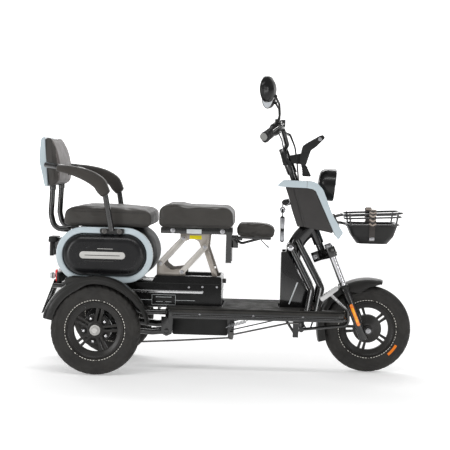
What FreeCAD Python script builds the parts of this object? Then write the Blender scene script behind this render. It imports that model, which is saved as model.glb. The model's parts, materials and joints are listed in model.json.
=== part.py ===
"""Two-seat adult tricycle: step-through frame, sprung fork, drum-braked rear axle, lifting rider seat.

Row frame: millimetres, +Z up, +X to the front, +Y to the rider's left.
The origin is on the ground under the middle of the whole machine.
"""
import FreeCAD, Part
import math
import os

from FreeCAD import Placement, Rotation, Vector

DOC = FreeCAD.newDocument("adult_tricycle")
SHEET = DOC.addObject("Spreadsheet::Sheet", "Dims")

DIMENSIONS = [
    ("tyre_radius", 200.0), ("tyre_half_width", 39.0), ("bead_radius", 128.0), ("hub_radius", 62.0),
    ("window_radius", 98.0), ("rim_half_width", 27.0), ("spoke_thickness", 16.0), ("spoke_width", 11.0),
    ("front_axle_x", 654.0), ("rear_axle_x", -566.0), ("rear_track_half", 310.0),
    ("axle_radius", 8.0), ("running_gap", 0.05), ("rake", 22.3), ("head_x", 409.0), ("head_height", 620.0),
    ("steerer_radius", 17.0), ("head_tube_radius", 24.0), ("head_bore_radius", 20.0),
    ("stanchion_radius", 15.0), ("fork_leg_radius", 20.0), ("fork_half_width", 73.0), ("fork_lead", 36.0),
    ("guard_thickness", 3.0), ("front_guard_radius", 236.0), ("rear_guard_radius", 240.0),
    ("bar_radius", 11.0), ("grip_radius", 17.0), ("grip_wall_gap", 0.08),
    ("deck_bottom", 250.0), ("deck_top", 290.0), ("mat_thickness", 8.0),
    ("rail_radius", 13.0), ("strut_radius", 15.0), ("box_half_width", 130.0), ("box_top", 432.0),
    ("barrel_radius", 123.5), ("barrel_half_length", 200.0), ("barrel_wall", 4.0), ("ring_width", 22.0),
    ("ring_band", 28.0), ("cover_bulge", 45.0), ("plate_thickness", 4.0), ("plate_offset", 104.0),
    ("link_width", 26.0), ("pivot_radius", 6.0), ("pivot_clearance", 0.5), ("rear_seat_half", 215.0),
    ("front_seat_half", 190.0), ("child_seat_half", 78.0), ("shroud_half", 96.0),
    ("lamp_radius", 75.0), ("mirror_radius", 58.0), ("back_tube_radius", 13.0), ("arm_tube_radius", 13.0),
    ("basket_wire", 4.0), ("backrest_half", 182.0),
]

for row, (alias, value) in enumerate(DIMENSIONS, start=1):
    SHEET.set("A%d" % row, alias)
    SHEET.set("B%d" % row, str(value))
    SHEET.setAlias("B%d" % row, alias)
DOC.recompute()

NODES = {}
UP = Vector(0, 0, 1)
SIDEWAYS = Vector(0, 1, 0)


def size(alias):
    """The value of one driving dimension."""
    return float(getattr(SHEET, alias))


RAKE = math.radians(size("rake"))
HEAD = Vector(size("head_x"), 0, size("head_height"))
FORWARD = Vector(math.cos(RAKE), 0, math.sin(RAKE))
UPWARD = Vector(-math.sin(RAKE), 0, math.cos(RAKE))
FRONT_AXLE = Vector(size("front_axle_x"), 0, size("tyre_radius"))
REAR_AXLE = Vector(size("rear_axle_x"), 0, size("tyre_radius"))
SWING_PIVOT = Vector(-263, 0, 185)
PEDAL_PIVOT = Vector(346, 0, 212)
FORK_BOTTOM = -515.0
LEG_TOP = -258.0
CLAMP_LOW = -108.0
CLAMP_HIGH = -62.0


def steered(forward, side, up):
    """A point given in the steering head's own directions."""
    return HEAD + FORWARD * forward + SIDEWAYS * side + UPWARD * up


def turned(point, degrees=0.0, axis=SIDEWAYS):
    return Placement(point, Rotation(axis, degrees))


def bind(thing, prop, amount):
    """Set a property to a number, or tie it to an expression on the sheet."""
    if isinstance(amount, str):
        thing.setExpression(prop, amount)
    else:
        setattr(thing, prop, amount)


def keep(label, thing):
    """Name a finished sub-part."""
    thing.Label = label
    NODES[label] = thing
    return thing


def origin_feature(body, role):
    for feature in body.Origin.OriginFeatures:
        if feature.Role == role:
            return feature
    raise ValueError(role)


def rounded(corners):
    """Line and arc edges of a closed outline whose corners are (a, b) or (a, b, radius)."""
    count = len(corners)
    points = [Vector(c[0], c[1], 0) for c in corners]
    stops = []
    for i, corner in enumerate(corners):
        radius = corner[2] if len(corner) > 2 else 0
        here = points[i]
        back = points[i - 1] - here
        ahead = points[(i + 1) % count] - here
        if radius <= 0:
            stops.append((here, None, here))
            continue
        half = back.getAngle(ahead) / 2
        reach = radius / math.tan(half)
        back.normalize()
        ahead.normalize()
        middle = back + ahead
        middle.normalize()
        nearest = here + middle * (radius / math.sin(half) - radius)
        stops.append((here + back * reach, nearest, here + ahead * reach))
    edges = []
    for i, (enter, nearest, leave) in enumerate(stops):
        if nearest is not None:
            edges.append(Part.Arc(enter, nearest, leave))
        following = stops[(i + 1) % count][0]
        if (following - leave).Length > 1e-6:
            edges.append(Part.LineSegment(leave, following))
    return edges


def new_sketch(body, role, outlines, circles=()):
    sketch = body.newObject("Sketcher::SketchObject", "Outline")
    sketch.AttachmentSupport = [(origin_feature(body, role), "")]
    sketch.MapMode = "FlatFace"
    for corners in outlines:
        sketch.addGeometry(rounded(corners), False)
    for x, y, radius in circles:
        sketch.addGeometry(Part.Circle(Vector(x, y, 0), UP, radius), False)
    return sketch


def prism(name, outlines, width, role="XZ_Plane", place=None, circles=(), centred=True):
    """A pad of one outline (with holes); on XZ_Plane the outline is the side view."""
    body = DOC.addObject("PartDesign::Body", name)
    sketch = new_sketch(body, role, outlines, circles)
    pad = body.newObject("PartDesign::Pad", "Pad")
    pad.Profile = sketch
    bind(pad, "Length", width)
    pad.Midplane = centred
    sketch.Visibility = False
    if place is not None:
        body.Placement = place
    return body


def revolved(name, outlines, angle=360.0, place=None):
    """A revolution about Y of an outline given as (radius, y)."""
    body = DOC.addObject("PartDesign::Body", name)
    sketch = new_sketch(body, "XY_Plane", outlines)
    spin = body.newObject("PartDesign::Revolution", "Revolution")
    spin.Profile = sketch
    spin.ReferenceAxis = (origin_feature(body, "Y_Axis"), [""])
    spin.Angle = angle
    spin.Midplane = angle < 360
    if place is not None:
        body.Placement = place
    return body


def cylinder(name, radius, length, place):
    """A cylinder whose middle is at the placement's base."""
    drum = DOC.addObject("Part::Cylinder", name)
    bind(drum, "Radius", radius)
    bind(drum, "Height", length)
    DOC.recompute()
    half = place.Rotation.multVec(UP) * (float(drum.Height) / 2)
    drum.Placement = Placement(place.Base - half, place.Rotation)
    return drum


def across(name, radius, length, centre):
    """A cylinder lying along Y."""
    return cylinder(name, radius, length, Placement(centre, Rotation(Vector(1, 0, 0), 90)))


def box(name, low, high):
    block = DOC.addObject("Part::Box", name)
    block.Length, block.Width, block.Height = (high[i] - low[i] for i in range(3))
    block.Placement = Placement(Vector(*low), Rotation())
    return block


def fuse(name, things):
    joined = DOC.addObject("Part::MultiFuse", name)
    joined.Shapes = things
    return joined


def cut(name, base, tools):
    """Take one thing, or several, away from another."""
    if len(tools) > 1:
        tools = [fuse(name + "_tools", tools)]
    result = DOC.addObject("Part::Cut", name)
    result.Base = base
    result.Tool = tools[0]
    return result


def copy_of(thing, name):
    """A linked copy, so one shape can be both a piece and a cutting tool."""
    twin = DOC.addObject("Part::Compound", name)
    twin.Links = [thing]
    return twin


def group(name, things):
    several = DOC.addObject("Part::Compound", name)
    several.Links = things
    return several


def other_side(thing, name):
    twin = DOC.addObject("Part::Mirroring", name)
    twin.Source = thing
    twin.Normal = SIDEWAYS
    twin.Base = Vector(0, 0, 0)
    return twin


def both_sides(label, thing):
    """The right-hand piece and its mirror image in one node."""
    return keep(label, group(label, [thing, other_side(thing, thing.Name + "_left")]))


def route(points, bend):
    """A wire of straight runs joined by tangent arcs of one radius."""
    edges = []
    start = points[0]
    for i in range(1, len(points) - 1):
        here = points[i]
        back = points[i - 1] - here
        ahead = points[i + 1] - here
        half = back.getAngle(ahead) / 2
        reach = min(bend / math.tan(half), back.Length * 0.49, ahead.Length * 0.49)
        radius = reach * math.tan(half)
        back.normalize()
        ahead.normalize()
        middle = back + ahead
        middle.normalize()
        nearest = here + middle * (radius / math.sin(half) - radius)
        enter = here + back * reach
        leave = here + ahead * reach
        edges.append(Part.LineSegment(start, enter).toShape())
        edges.append(Part.Arc(enter, nearest, leave).toShape())
        start = leave
    edges.append(Part.LineSegment(start, points[-1]).toShape())
    return Part.Wire(edges)


def tube(name, points, radius, bend=40.0, squash=1.0):
    """A bent round tube or rod; squash under 1 makes it oval, narrower across Y."""
    if isinstance(radius, str):
        radius = size(radius)
    path = route([Vector(*p) for p in points], bend)
    along = path.Edges[0].tangentAt(path.Edges[0].FirstParameter)
    if squash < 1:
        ring = Part.Ellipse(Vector(0, 0, 0), radius, radius * squash).toShape()
        side = along.cross(SIDEWAYS)
        ring.Placement = Placement(path.Edges[0].firstVertex().Point, Rotation(side, SIDEWAYS, along, "ZXY"))
    else:
        ring = Part.Circle(path.Edges[0].firstVertex().Point, along, radius).toShape()
    piece = DOC.addObject("Part::Feature", name)
    piece.Shape = path.makePipeShell([Part.Wire([ring])], True, False)
    return piece


def ring_section(outer, inner, half_width, wall):
    """Arch section of a mudguard: crown and two skirts, as (radius, y)."""
    return [
        (outer, -half_width, 10), (outer, half_width, 10), (inner, half_width), (inner, half_width - wall),
        (outer - wall, half_width - wall, 7), (outer - wall, wall - half_width, 7),
        (inner, wall - half_width), (inner, -half_width),
    ]


def mudguard(name, centre, outer, inner, half_width, first, last):
    """Part of a ring round a wheel; angles in degrees above the forward direction."""
    outline = ring_section(outer, inner, half_width, size("guard_thickness"))
    return revolved(name, [outline], last - first, turned(centre, -(first + last) / 2))


def wheel(side, centre, axle_bore):
    """Tyre and cast five-spoke rim."""
    outer, half, bead = size("tyre_radius"), size("tyre_half_width"), size("bead_radius")
    casing = [
        (outer, -14, 40), (outer, 14, 40), (outer - 9, half - 8, 9), (outer - 30, half, 18),
        (bead + 8, half - 8, 6), (bead, half - 12), (bead, half - 17), (outer - 26, half - 8, 10),
        (outer - 14, 0, 50), (outer - 26, 8 - half, 10), (bead, 17 - half), (bead, 12 - half),
        (bead + 8, 8 - half, 6), (outer - 30, -half, 18), (outer - 9, 8 - half, 9),
    ]
    tyre = revolved(side + "_tyre", [casing], place=turned(centre))
    keep(side + "_tyre", tyre)
    edge, window, depth = size("rim_half_width"), size("window_radius"), size("spoke_thickness") / 2
    ring = [
        (bead, -edge), (bead, edge), (bead - 5, edge, 2), (bead - 9, edge - 7), (window, depth + 6, 4),
        (window, -depth - 6, 4), (bead - 9, 7 - edge), (bead - 5, -edge, 2),
    ]
    hub_radius = size("hub_radius")
    hub = [
        (axle_bore, -26), (hub_radius * 0.55, -26, 4), (hub_radius, -depth - 4, 4), (hub_radius, depth + 4, 4),
        (hub_radius * 0.55, 26, 4), (axle_bore, 26),
    ]
    body = revolved(side + "_rim", [ring, hub], place=turned(centre))
    spoke_half = size("spoke_width") / 2
    arms = [[(hub_radius - 8, lean - spoke_half), (hub_radius - 8, lean + spoke_half),
             (window + 5, lean * 1.5 + spoke_half), (window + 5, lean * 1.5 - spoke_half)]
            for lean in (-13.0, 13.0)]
    spoke_sketch = new_sketch(body, "XZ_Plane", arms)
    spokes = body.newObject("PartDesign::Pad", "SpokePair")
    spokes.Profile = spoke_sketch
    bind(spokes, "Length", "Dims.spoke_thickness")
    spokes.Midplane = True
    fan = body.newObject("PartDesign::PolarPattern", "FiveSpokePairs")
    fan.Originals = [spokes]
    fan.Axis = (origin_feature(body, "Y_Axis"), [""])
    fan.Angle = 360
    fan.Occurrences = 5
    body.Tip = fan
    keep(side + "_rim", body)


def stadium(half_span, radius):
    """Outline of two half rounds joined by straight runs, about its own middle."""
    return [(-half_span - radius, -radius, radius), (half_span + radius, -radius, radius),
            (half_span + radius, radius, radius), (-half_span - radius, radius, radius)]


def shifted(corners, dx, dz):
    return [(c[0] + dx, c[1] + dz) + tuple(c[2:]) for c in corners]


# ---------------------------------------------------------------- frame


def build_frame():
    """Welded main frame: head tube, curved down tube and two splayed struts a side; bearings in the head."""
    rake = size("rake")
    head = cylinder("head_shell", "Dims.head_tube_radius", 190.0, turned(steered(0, 0, 61), -rake))
    spine = tube("down_tube", [(388, 0, 668), (318, 0, 600), (291, 0, 480), (288, 0, 280)], 37.0, 220.0, 0.72)
    front = tube("strut_front", [(322, -44, 600), (434, -122, 394), (412, -184, 284)], "strut_radius", 34.0)
    rear = tube("strut_rear", [(290, -50, 571), (390, -128, 384), (372, -184, 284)], "strut_radius", 34.0)
    eye = across("strut_eye", 19.0, 34.0, Vector(291, -54, 573))
    right = fuse("struts_right", [front, rear, eye])
    solid = fuse("main_frame_blank", [head, spine, right, other_side(right, "struts_left")])
    bore = cylinder("head_bore", "Dims.head_bore_radius", 320.0, turned(steered(0, 0, 61), -rake))
    floor = box("deck_level", (200, -260, 200), (600, 260, size("deck_top")))
    keep("main_frame", cut("main_frame", solid, [bore, floor]))
    rings = []
    for height in (-22.0, 144.0):
        place = turned(steered(0, 0, height), -rake)
        cup = cylinder("bearing_cup", "Dims.head_bore_radius", 18.0, place)
        hole = cylinder("bearing_hole", "Dims.steerer_radius + Dims.running_gap", 20.0, place)
        rings.append(cut("bearing_ring", cup, [hole]))
    keep("headset_bearings", group("headset_bearings", rings))
    build_deck()
    build_rear_frame()


DECK_OUTLINE = [
    (-266, -230, 24), (540, -230, 38), (540, -153, 28), (398, -153, 60), (398, 153, 60),
    (540, 153, 28), (540, 230, 38), (-266, 230, 24),
]


def inset(corners, gap):
    """The deck outline drawn in by a gap: its notch for the wheel grows, the rest shrinks."""
    inner_x = min(x for x, y, radius in corners if abs(y) < 200)
    result = []
    for x, y, radius in corners:
        side = 1 if y > 0 else -1
        near_x = x - gap if x > 0 else x + gap
        near_y = y + side * gap if abs(y) < 200 else y - side * gap
        result.append((near_x, near_y, radius + gap if x == inner_x else radius - gap))
    return result


def build_deck():
    """Pressed floor tray with a notch in front for the steered wheel, and its rubber mat."""
    low, high = size("deck_bottom"), size("deck_top")
    tray = prism("deck_tray", [DECK_OUTLINE], high - low, "XY_Plane", turned(Vector(0, 0, low)), centred=False)
    DOC.recompute()
    hollow = new_sketch(tray, "XY_Plane", [inset(DECK_OUTLINE, 16)])
    pocket = tray.newObject("PartDesign::Pocket", "Underside")
    pocket.Profile = hollow
    pocket.Length = high - low - 10
    pocket.Reversed = True
    DOC.recompute()
    keep("deck_tray", fuse("deck_tray", [tray] + under_deck_brackets()))
    mat = prism("mat_blank", [inset(DECK_OUTLINE, 7)], "Dims.mat_thickness", "XY_Plane",
                turned(Vector(0, 0, high)), centred=False)
    seats = [box("box_footprint", (-470, -134, 280), (-14, 134, 320)),
             box("leg_footprint", (241, -90, 280), (420, 90, 320))]
    for side in (-1, 1):
        seats.append(box("strut_footprint", (338, side * 181 - 31, 280), (438, side * 181 + 31, 320)))
    keep("floor_mat", cut("floor_mat", mat, seats))


def under_deck_brackets():
    """Pressings welded under the tray: swing arm pivots, post with braces, rod hanger and pedal pivot."""
    plate = prism("pivot_plate", [[(-256, 281), (-232, 281), (-238, 172, 10), (-263, 160, 12), (-286, 172, 10),
                                   (-288, 249), (-256, 249)]], 8.0, place=turned(Vector(0, -166, 0)),
                  circles=[(SWING_PIVOT.x, SWING_PIVOT.z, 10.05)])
    post = prism("post", [[(311, 150), (337, 150), (337, 276), (311, 276)]], 34.0)
    braces = [tube("brace_rear", [(322, 0, 162), (248, 0, 275)], 6.0),
              tube("brace_front", [(326, 0, 162), (384, 0, 275)], 6.0),
              box("post_head", (236, -30, 271), (394, 30, 282))]
    hanger = prism("rod_hanger", [[(8, 282), (46, 282), (40, 150, 8), (16, 150, 8)]], 6.0,
                   place=turned(Vector(0, -130, 0)))
    lug = prism("pedal_lug", [[(330, 282), (362, 282), (358, 200, 10), (334, 200, 10)]], 8.0,
                place=turned(Vector(0, -152, 0)))
    pin = across("pedal_pin", "Dims.pivot_radius", 61.0, Vector(PEDAL_PIVOT.x, -180, PEDAL_PIVOT.z))
    return [plate, other_side(plate, "pivot_plate_left"), post, hanger, lug, pin] + braces


def build_rear_frame():
    """Two rails from the deck to the tail with cross tubes, barrel saddles and pivot plates."""
    parts = []
    rail = [(-266, -148, 268), (-395, -148, 268), (-470, -148, 378), (-800, -148, 378)]
    for side in (-1, 1):
        path = [(x, -side * y, z) for x, y, z in rail]
        parts.append(tube("rail", path, size("rail_radius"), 60.0))
        parts.append(tube("stay_front", [(-500, side * 148, 372), (-500, side * 262, 402)], 8.0))
        parts.append(tube("stay_rear", [(-640, side * 148, 372), (-640, side * 262, 402)], 8.0))
    for x in (-490.0, -765.0):
        parts.append(across("cross_tube", 11.0, 296.0, Vector(x, 0, 378)))
    for x in (-600.0, -490.0):
        parts.append(box("saddle", (x - 14, -120, 374), (x + 14, 120, 402)))
    frame = fuse("rear_frame_blank", parts)
    radius, centre = size("barrel_radius"), barrel_centre()
    behind = prism("behind_plate", [[(-773.8, 410), (-836.2, 240), (-900, 240), (-900, 410)]], 600.0)
    beyond = [box("past_fender", (-700, side * 281 - 19, 380), (-440, side * 281 + 19, 430)) for side in (-1, 1)]
    keep("rear_frame", cut("rear_frame", frame, beyond + [
        behind, prism("saddle_tool", [shifted(stadium(94, radius), centre.x, centre.z)], 600.0)]))


def barrel_centre():
    return Vector(-545.5, 0, 525.5)


def build_boxes():
    """Battery box on the deck with its pack, and the controller box below it."""
    top = size("box_top")
    shell = prism("battery_box_blank", [[(-446, 290, 6), (-446, 398, 10), (-340, 398, 14), (-322, top, 10),
                                         (-20, top, 12), (-20, 290, 6)]], "2 * Dims.box_half_width")
    hollow = prism("battery_space", [[(-438, 296), (-438, 390), (-336, 390), (-318, top - 8),
                                      (-28, top - 8), (-28, 296)]], 250.0)
    slot = box("prop_slot", (-206, -96, 376), (-30, 96, top + 10))
    well = box("prop_well", (-212, -102, 370), (-24, 102, top - 1))
    keep("battery_box", cut("battery_box", shell, [cut("space_round_well", hollow, [well]), slot]))
    keep("battery_pack", box("battery_pack", (-432, -118, 296), (-40, 118, 364)))
    case = prism("lower_box_blank", [[(-242, 160, 10), (13, 160, 10), (13, 280), (-242, 280)]], 200.0)
    room = prism("lower_space", [[(-236, 166), (7, 166), (7, 274), (-236, 274)]], 188.0)
    keep("lower_box", cut("lower_box", case, [room]))
    keep("motor_controller", box("motor_controller", (-190, -70, 166), (-40, 70, 222)))


def build_leg_shield():
    """Glossy hollow box behind the struts; the down tube passes through it."""
    outline = [(247, 290, 6), (248, 552, 6), (276, 552, 10), (396, 336, 30), (386, 290, 6)]
    room = [(253, 296), (254, 570), (273, 570), (388, 334), (380, 296)]
    shell = prism("leg_shield_blank", [outline], 170.0)
    keep("leg_shield", cut("leg_shield", shell, [
        prism("leg_space", [room], 158.0), box("leg_mouth", (251, -32, 285), (330, 32, 600))]))


# ---------------------------------------------------------------- shroud, lamp and basket


BAND = [
    (233, 850, 6), (266, 879, 12), (398, 875, 46), (432, 840, 60), (478, 724), (528, 645, 8), (506, 612, 4),
    (494, 628, 10), (450, 722), (396, 838, 24), (360, 845), (262, 848, 6),
]
SIDE_PANEL = [(296, 846), (360, 844.7), (395.6, 837, 24), (449.6, 721.5), (490, 632, 8), (468, 644, 8), (347, 668)]
REAR_PANEL = [(260, 847.6), (295.6, 846), (346.6, 668), (318, 668, 6), (292, 742, 20), (280, 790, 20)]


def build_shroud():
    """Light trim over the top and front, dark side panels and the rear panel, all hollow."""
    full = "2 * Dims.shroud_half"
    band = prism("front_shroud_blank", [BAND], full)
    room = prism("shroud_space", [[(230, 838), (262, 874.9), (398, 871, 42), (428, 838, 56), (474, 722), (560, 560),
                                   (200, 560)]], 180.0)
    mouth = box("stem_mouth", (262, -46, 860), (392, 46, 890))
    keep("front_shroud", cut("front_shroud", band, [room, mouth]))
    side = prism("side_panel", [SIDE_PANEL], 4.0, place=turned(Vector(0, -92, 0)))
    back = prism("glove_panel", [REAR_PANEL], 184.0)
    void = prism("glove_space", [[(266, 850), (320, 850), (372, 660), (326, 660), (299, 744), (286, 792)]], 176.0)
    shell = [side, other_side(side, "side_panel_left"), cut("glove_panel_hollow", back, [void])]
    keep("shroud_panels", fuse("shroud_panels", shell))
    key = cylinder("key_lock", 15.0, 26.0, turned(Vector(269, -72, 777), 70))
    flush = cut("key_lock_flush", key, [prism("panel_tool", [REAR_PANEL], 184.0)])
    battery = cylinder("battery_lock", 11.0, 14.0, turned(Vector(-13, 60, 398), 90))
    keep("locks", group("locks", [flush, battery]))


def build_headlight():
    """Round lamp bucket standing on the slope of the shroud, with its lens."""
    radius = size("lamp_radius")
    bowl = [(0.01, -72), (34, -70, 20), (radius - 8, -34, 30), (radius, -4, 4), (radius, 0), (0.01, 0)]
    tilt = Rotation(SIDEWAYS, 6).multiply(Rotation(UP, -90))
    bucket = revolved("lamp_blank", [bowl], place=Placement(Vector(482, 0, 859), tilt))
    clear = prism("lamp_clear", [[(100, 880), (398, 875.3, 46), (432.3, 840, 60), (478.3, 724), (528, 600),
                                  (100, 600)]], 400.0)
    keep("headlight_bucket", cut("headlight_bucket", bucket, [clear]))


def loop(name, low, high, side, z_low, z_high, radius, corner=40.0):
    """A closed rounded wire frame that may slope from back to front."""
    corners = rounded([(low, -side, corner), (high, -side, corner), (high, side, corner), (low, side, corner)])
    slope = (z_high - z_low) / (high - low)
    wire = Part.Wire([edge.toShape() for edge in corners])
    wire.translate(Vector(0, 0, (z_low + z_high) / 2))
    wire.rotate(Vector((low + high) / 2, 0, (z_low + z_high) / 2), SIDEWAYS, -math.degrees(math.atan(slope)))
    start = wire.Edges[0].firstVertex().Point
    along = wire.Edges[0].tangentAt(wire.Edges[0].FirstParameter)
    ring = Part.Wire([Part.Circle(start, along, radius).toShape()])
    piece = DOC.addObject("Part::Feature", name)
    piece.Shape = wire.makePipeShell([ring], True, False)
    return piece


def tub_loft(name, outer_shrink, floor):
    """Sloping-sided tub between its rim and floor outlines."""
    levels = [(floor, 600 - 8, 730, 92), (floor + 36, 566, 756, 118), (684, 545, 772, 126)]
    wires = []
    for z, low, high, side in levels:
        back, front, flank = low + outer_shrink, high - outer_shrink, side - outer_shrink
        edges = rounded([(back, -flank, 30), (front, -flank, 30), (front, flank, 30), (back, flank, 30)])
        wire = Part.Wire([edge.toShape() for edge in edges])
        wire.translate(Vector(0, 0, z))
        wires.append(wire)
    piece = DOC.addObject("Part::Feature", name)
    piece.Shape = Part.makeLoft(wires, True, True)
    return piece


def build_basket():
    """Wire frame with a bracket to the shroud, and the moulded tub."""
    wire = size("basket_wire")
    rails = [
        loop("top_rail", 530, 792, 142, 728, 742, wire + 1),
        loop("second_rail", 532, 788, 138, 712, 724, wire),
        loop("rim_rail", 539, 780, 133, 682, 688, wire),
    ]
    for x_top, x_low in ((552, 558), (770, 762)):
        for side in (-1, 1):
            rails.append(tube("corner_post", [(x_top, side * 141, 735), (x_low, side * 132, 685)], wire))
    for side in (-1, 1):
        rails.append(tube("bracket_rod", [(492, side * 40, 716), (534, side * 40, 728)], 5.0))
        rails.append(tube("bracket_brace", [(505, side * 40, 690), (545, side * 40, 683)], 5.0))
    rails.append(prism("bracket_plate", [[(479, 728), (487, 731), (511, 677), (504, 674)]], 110.0))
    body = cut("basket_frame", fuse("basket_frame_blank", rails), [
        prism("bracket_clear", [[(400, 840), (432, 840), (478, 724), (528, 645), (400, 645)]], 300.0)])
    keep("basket_frame", body)
    tub = cut("tub_shell", tub_loft("tub_outer", 0.0, 598), [tub_loft("tub_inner", 3.0, 603)])
    keep("basket_tub", cut("basket_tub", tub, [copy_of(NODES["basket_frame"], "rail_tool")]))


# ---------------------------------------------------------------- barrel, fenders and tail


def build_barrel():
    """Hollow luggage barrel lying across the frame, light end rings and bulged covers."""
    radius, wall = size("barrel_radius"), size("barrel_wall")
    centre = barrel_centre()
    outline = shifted(stadium(94, radius), centre.x, centre.z)
    inner = shifted(stadium(94, radius - wall), centre.x, centre.z)
    shell = prism("barrel_blank", [outline, inner], "2 * Dims.barrel_half_length")
    lid = box("barrel_mouth", (-640, -150, 600), (-452, 150, 700))
    keep("luggage_barrel", cut("luggage_barrel", shell, [lid]))
    band = size("ring_band")
    half, width = size("barrel_half_length"), size("ring_width")
    ring = prism("end_ring", [shifted(stadium(94, radius + 1), centre.x, centre.z),
                              shifted(stadium(94, radius - band), centre.x, centre.z)], "Dims.ring_width",
                 place=turned(Vector(0, -half - width / 2, 0)))
    both_sides("end_rings", ring)
    cover = prism("end_cover", [shifted(stadium(94, radius - band), centre.x, centre.z)], "Dims.cover_bulge",
                  place=turned(Vector(0, -half, 0)), centred=False)
    DOC.recompute()
    base = cover.Tip
    crown = cover.newObject("PartDesign::Fillet", "Crown")
    outer_face = min(cover.Shape.Faces, key=lambda face: face.CenterOfMass.y)
    names = [edge_name(cover.Shape, edge) for edge in outer_face.Edges]
    crown.Base = (base, names)
    crown.Radius = 38
    cover.Tip = crown
    both_sides("end_covers", cover)


def edge_name(shape, wanted):
    for i, edge in enumerate(shape.Edges, start=1):
        if edge.isSame(wanted):
            return "Edge%d" % i
    raise ValueError("no such edge")


def build_fenders():
    guard = mudguard("rear_fender", REAR_AXLE - Vector(0, 307, 0), size("rear_guard_radius"), 208.0, 45.0, 8, 168)
    both_sides("rear_fenders", guard)


def build_tail():
    """Slanted plate, lamps and the hook behind the barrel."""
    plate = prism("tail_plate", [[(-780, 404), (-776, 404), (-834, 246), (-838, 246)]], 320.0)
    lamp = box("lamp_bar", (-774, -160, 391), (-754, 160, 436))
    reflector = cylinder("rear_reflector", 16.0, 8.0, turned(Vector(-796, 0, 421), 90))
    stalk = cylinder("reflector_stalk", 6.0, 22.0, turned(Vector(-783, 0, 421), 90))
    signals = []
    for side in (-1, 1):
        signals.append(cylinder("signal_head", 14.0, 26.0, turned(Vector(-793, side * 120, 418), 90)))
        signals.append(cylinder("signal_stem", 6.0, 12.0, turned(Vector(-777, side * 120, 418), 90)))
    keep("tail_lights", fuse("tail_lights", [lamp, reflector, stalk] + signals))
    hook = prism("rear_hook", [[(-740, 560), (-740, 582), (-830, 590, 4), (-834, 576, 4), (-806, 566),
                                (-796, 508, 4), (-784, 508, 4), (-778, 556)]], 50.0)
    radius, centre = size("barrel_radius"), barrel_centre()
    fitted = cut("rear_hook_fitted", hook, [
        prism("hook_clear", [shifted(stadium(94, radius), centre.x, centre.z)], 300.0)])
    keep("tail_brackets", group("tail_brackets", [plate, fitted]))


def build_backrest():
    """Padded back on two bent tubes, with armrests bolted to the barrel's rings."""
    full = "2 * Dims.backrest_half"
    shell = [(-847, 1042, 12), (-820, 1051, 6), (-813, 1051), (-813, 826), (-828, 826, 8), (-854, 940),
             (-854, 985, 60)]
    keep("backrest_shell", prism("backrest_shell", [shell], full))
    pad = [(-812.7, 1050), (-780, 1050, 14), (-768, 1000, 40), (-762, 905, 60), (-768, 840, 14), (-790, 826, 8),
           (-812.7, 826)]
    keep("backrest_pad", prism("backrest_pad", [pad], "2 * Dims.backrest_half - 4"))
    leg = tube("back_leg", [(-800, -120, 824.5), (-806, -120, 700), (-790, -120, 634), (-715, -120, 631)],
               size("back_tube_radius"), 60.0)
    radius, centre = size("barrel_radius"), barrel_centre()
    both_sides("backrest_tubes", cut("back_leg_clear", leg, [
        prism("leg_clear", [shifted(stadium(94, radius), centre.x, centre.z)], 500.0)]))


ARM_PATH = [(-818, -196, 924), (-752, -262, 916), (-640, -266, 903), (-556, -264, 846), (-540, -258, 790),
            (-512, -241, 636)]


def build_armrests():
    bar = tube("arm_bar", ARM_PATH, size("arm_tube_radius"), 55.0)
    plate = prism("arm_plate", [[(-566, 622, 8), (-456, 622, 8), (-456, 646, 8), (-566, 646, 8)]], 8.0,
                  place=turned(Vector(0, -226, 0)))
    bolts = [across("arm_bolt", 11.0, 12.0, Vector(x, -236, 634)) for x in (-544, -477)]
    both_sides("armrest_frames", fuse("arm_frame", [bar, plate] + bolts))
    outline = [(-748, 934, 8), (-640, 926, 60), (-566, 894, 50), (-512, 828, 10), (-556, 822, 10),
               (-600, 868, 40), (-668, 884, 40), (-746, 898, 8)]
    rest = prism("arm_pad", [outline], 54.0, place=turned(Vector(0, -265, 0)))
    bar_tool = tube("arm_tool", ARM_PATH, size("arm_tube_radius"), 55.0)
    both_sides("armrest_pads", cut("arm_pad_clear", rest, [bar_tool]))


# ---------------------------------------------------------------- seats and the lifting linkage


KEY_HANG = Vector(250, -88, 768)
LOW_REAR = Vector(-302, 0, 487)
LOW_FRONT = Vector(-203, 0, 449.5)
LIFT_ARM = Vector(103, 0, 115)
HIGH_REAR = LOW_REAR + LIFT_ARM
HIGH_FRONT = LOW_FRONT + LIFT_ARM
PROP_FOOT = Vector(-48, 0, 419)
CHILD_HINGE = Vector(40, 0, 602)


def bar_outline(start, end, half_width):
    """A straight link with round ends, as a side-view outline."""
    along = end - start
    along.normalize()
    side = Vector(-along.z, 0, along.x)
    corners = []
    for point, way, flank in ((start, -1, 1), (end, 1, 1), (end, 1, -1), (start, -1, -1)):
        corner = point + along * (way * half_width) + side * (flank * half_width)
        corners.append((corner.x, corner.z, half_width))
    return corners


def lift_link(label, start, end, y, top_hole):
    """A pair of flat links, one each side, with a pivot hole at each end."""
    holes = [(start.x, start.z, size("pivot_radius") + size("running_gap")), (end.x, end.z, top_hole)]
    strap = prism(label + "_strap", [bar_outline(start, end, size("link_width") / 2)], "Dims.plate_thickness",
                  place=turned(Vector(0, -y, 0)), circles=holes)
    both_sides(label, strap)


def plate_with_pins(name, outline, offset, pins, outward):
    """A pressed plate and the pins fixed in it that stick out to carry the links."""
    thick = size("plate_thickness")
    plate = prism(name + "_plate", [outline], thick, place=turned(Vector(0, -offset, 0)))
    parts = [plate]
    for pin in pins:
        parts.append(across(name + "_pin", "Dims.pivot_radius", outward, Vector(pin.x, -offset - outward / 2, pin.z)))
        parts.append(across(name + "_head", 9.5, 3.0, Vector(pin.x, -offset - outward - 1.5, pin.z)))
    return fuse(name, parts)


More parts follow.
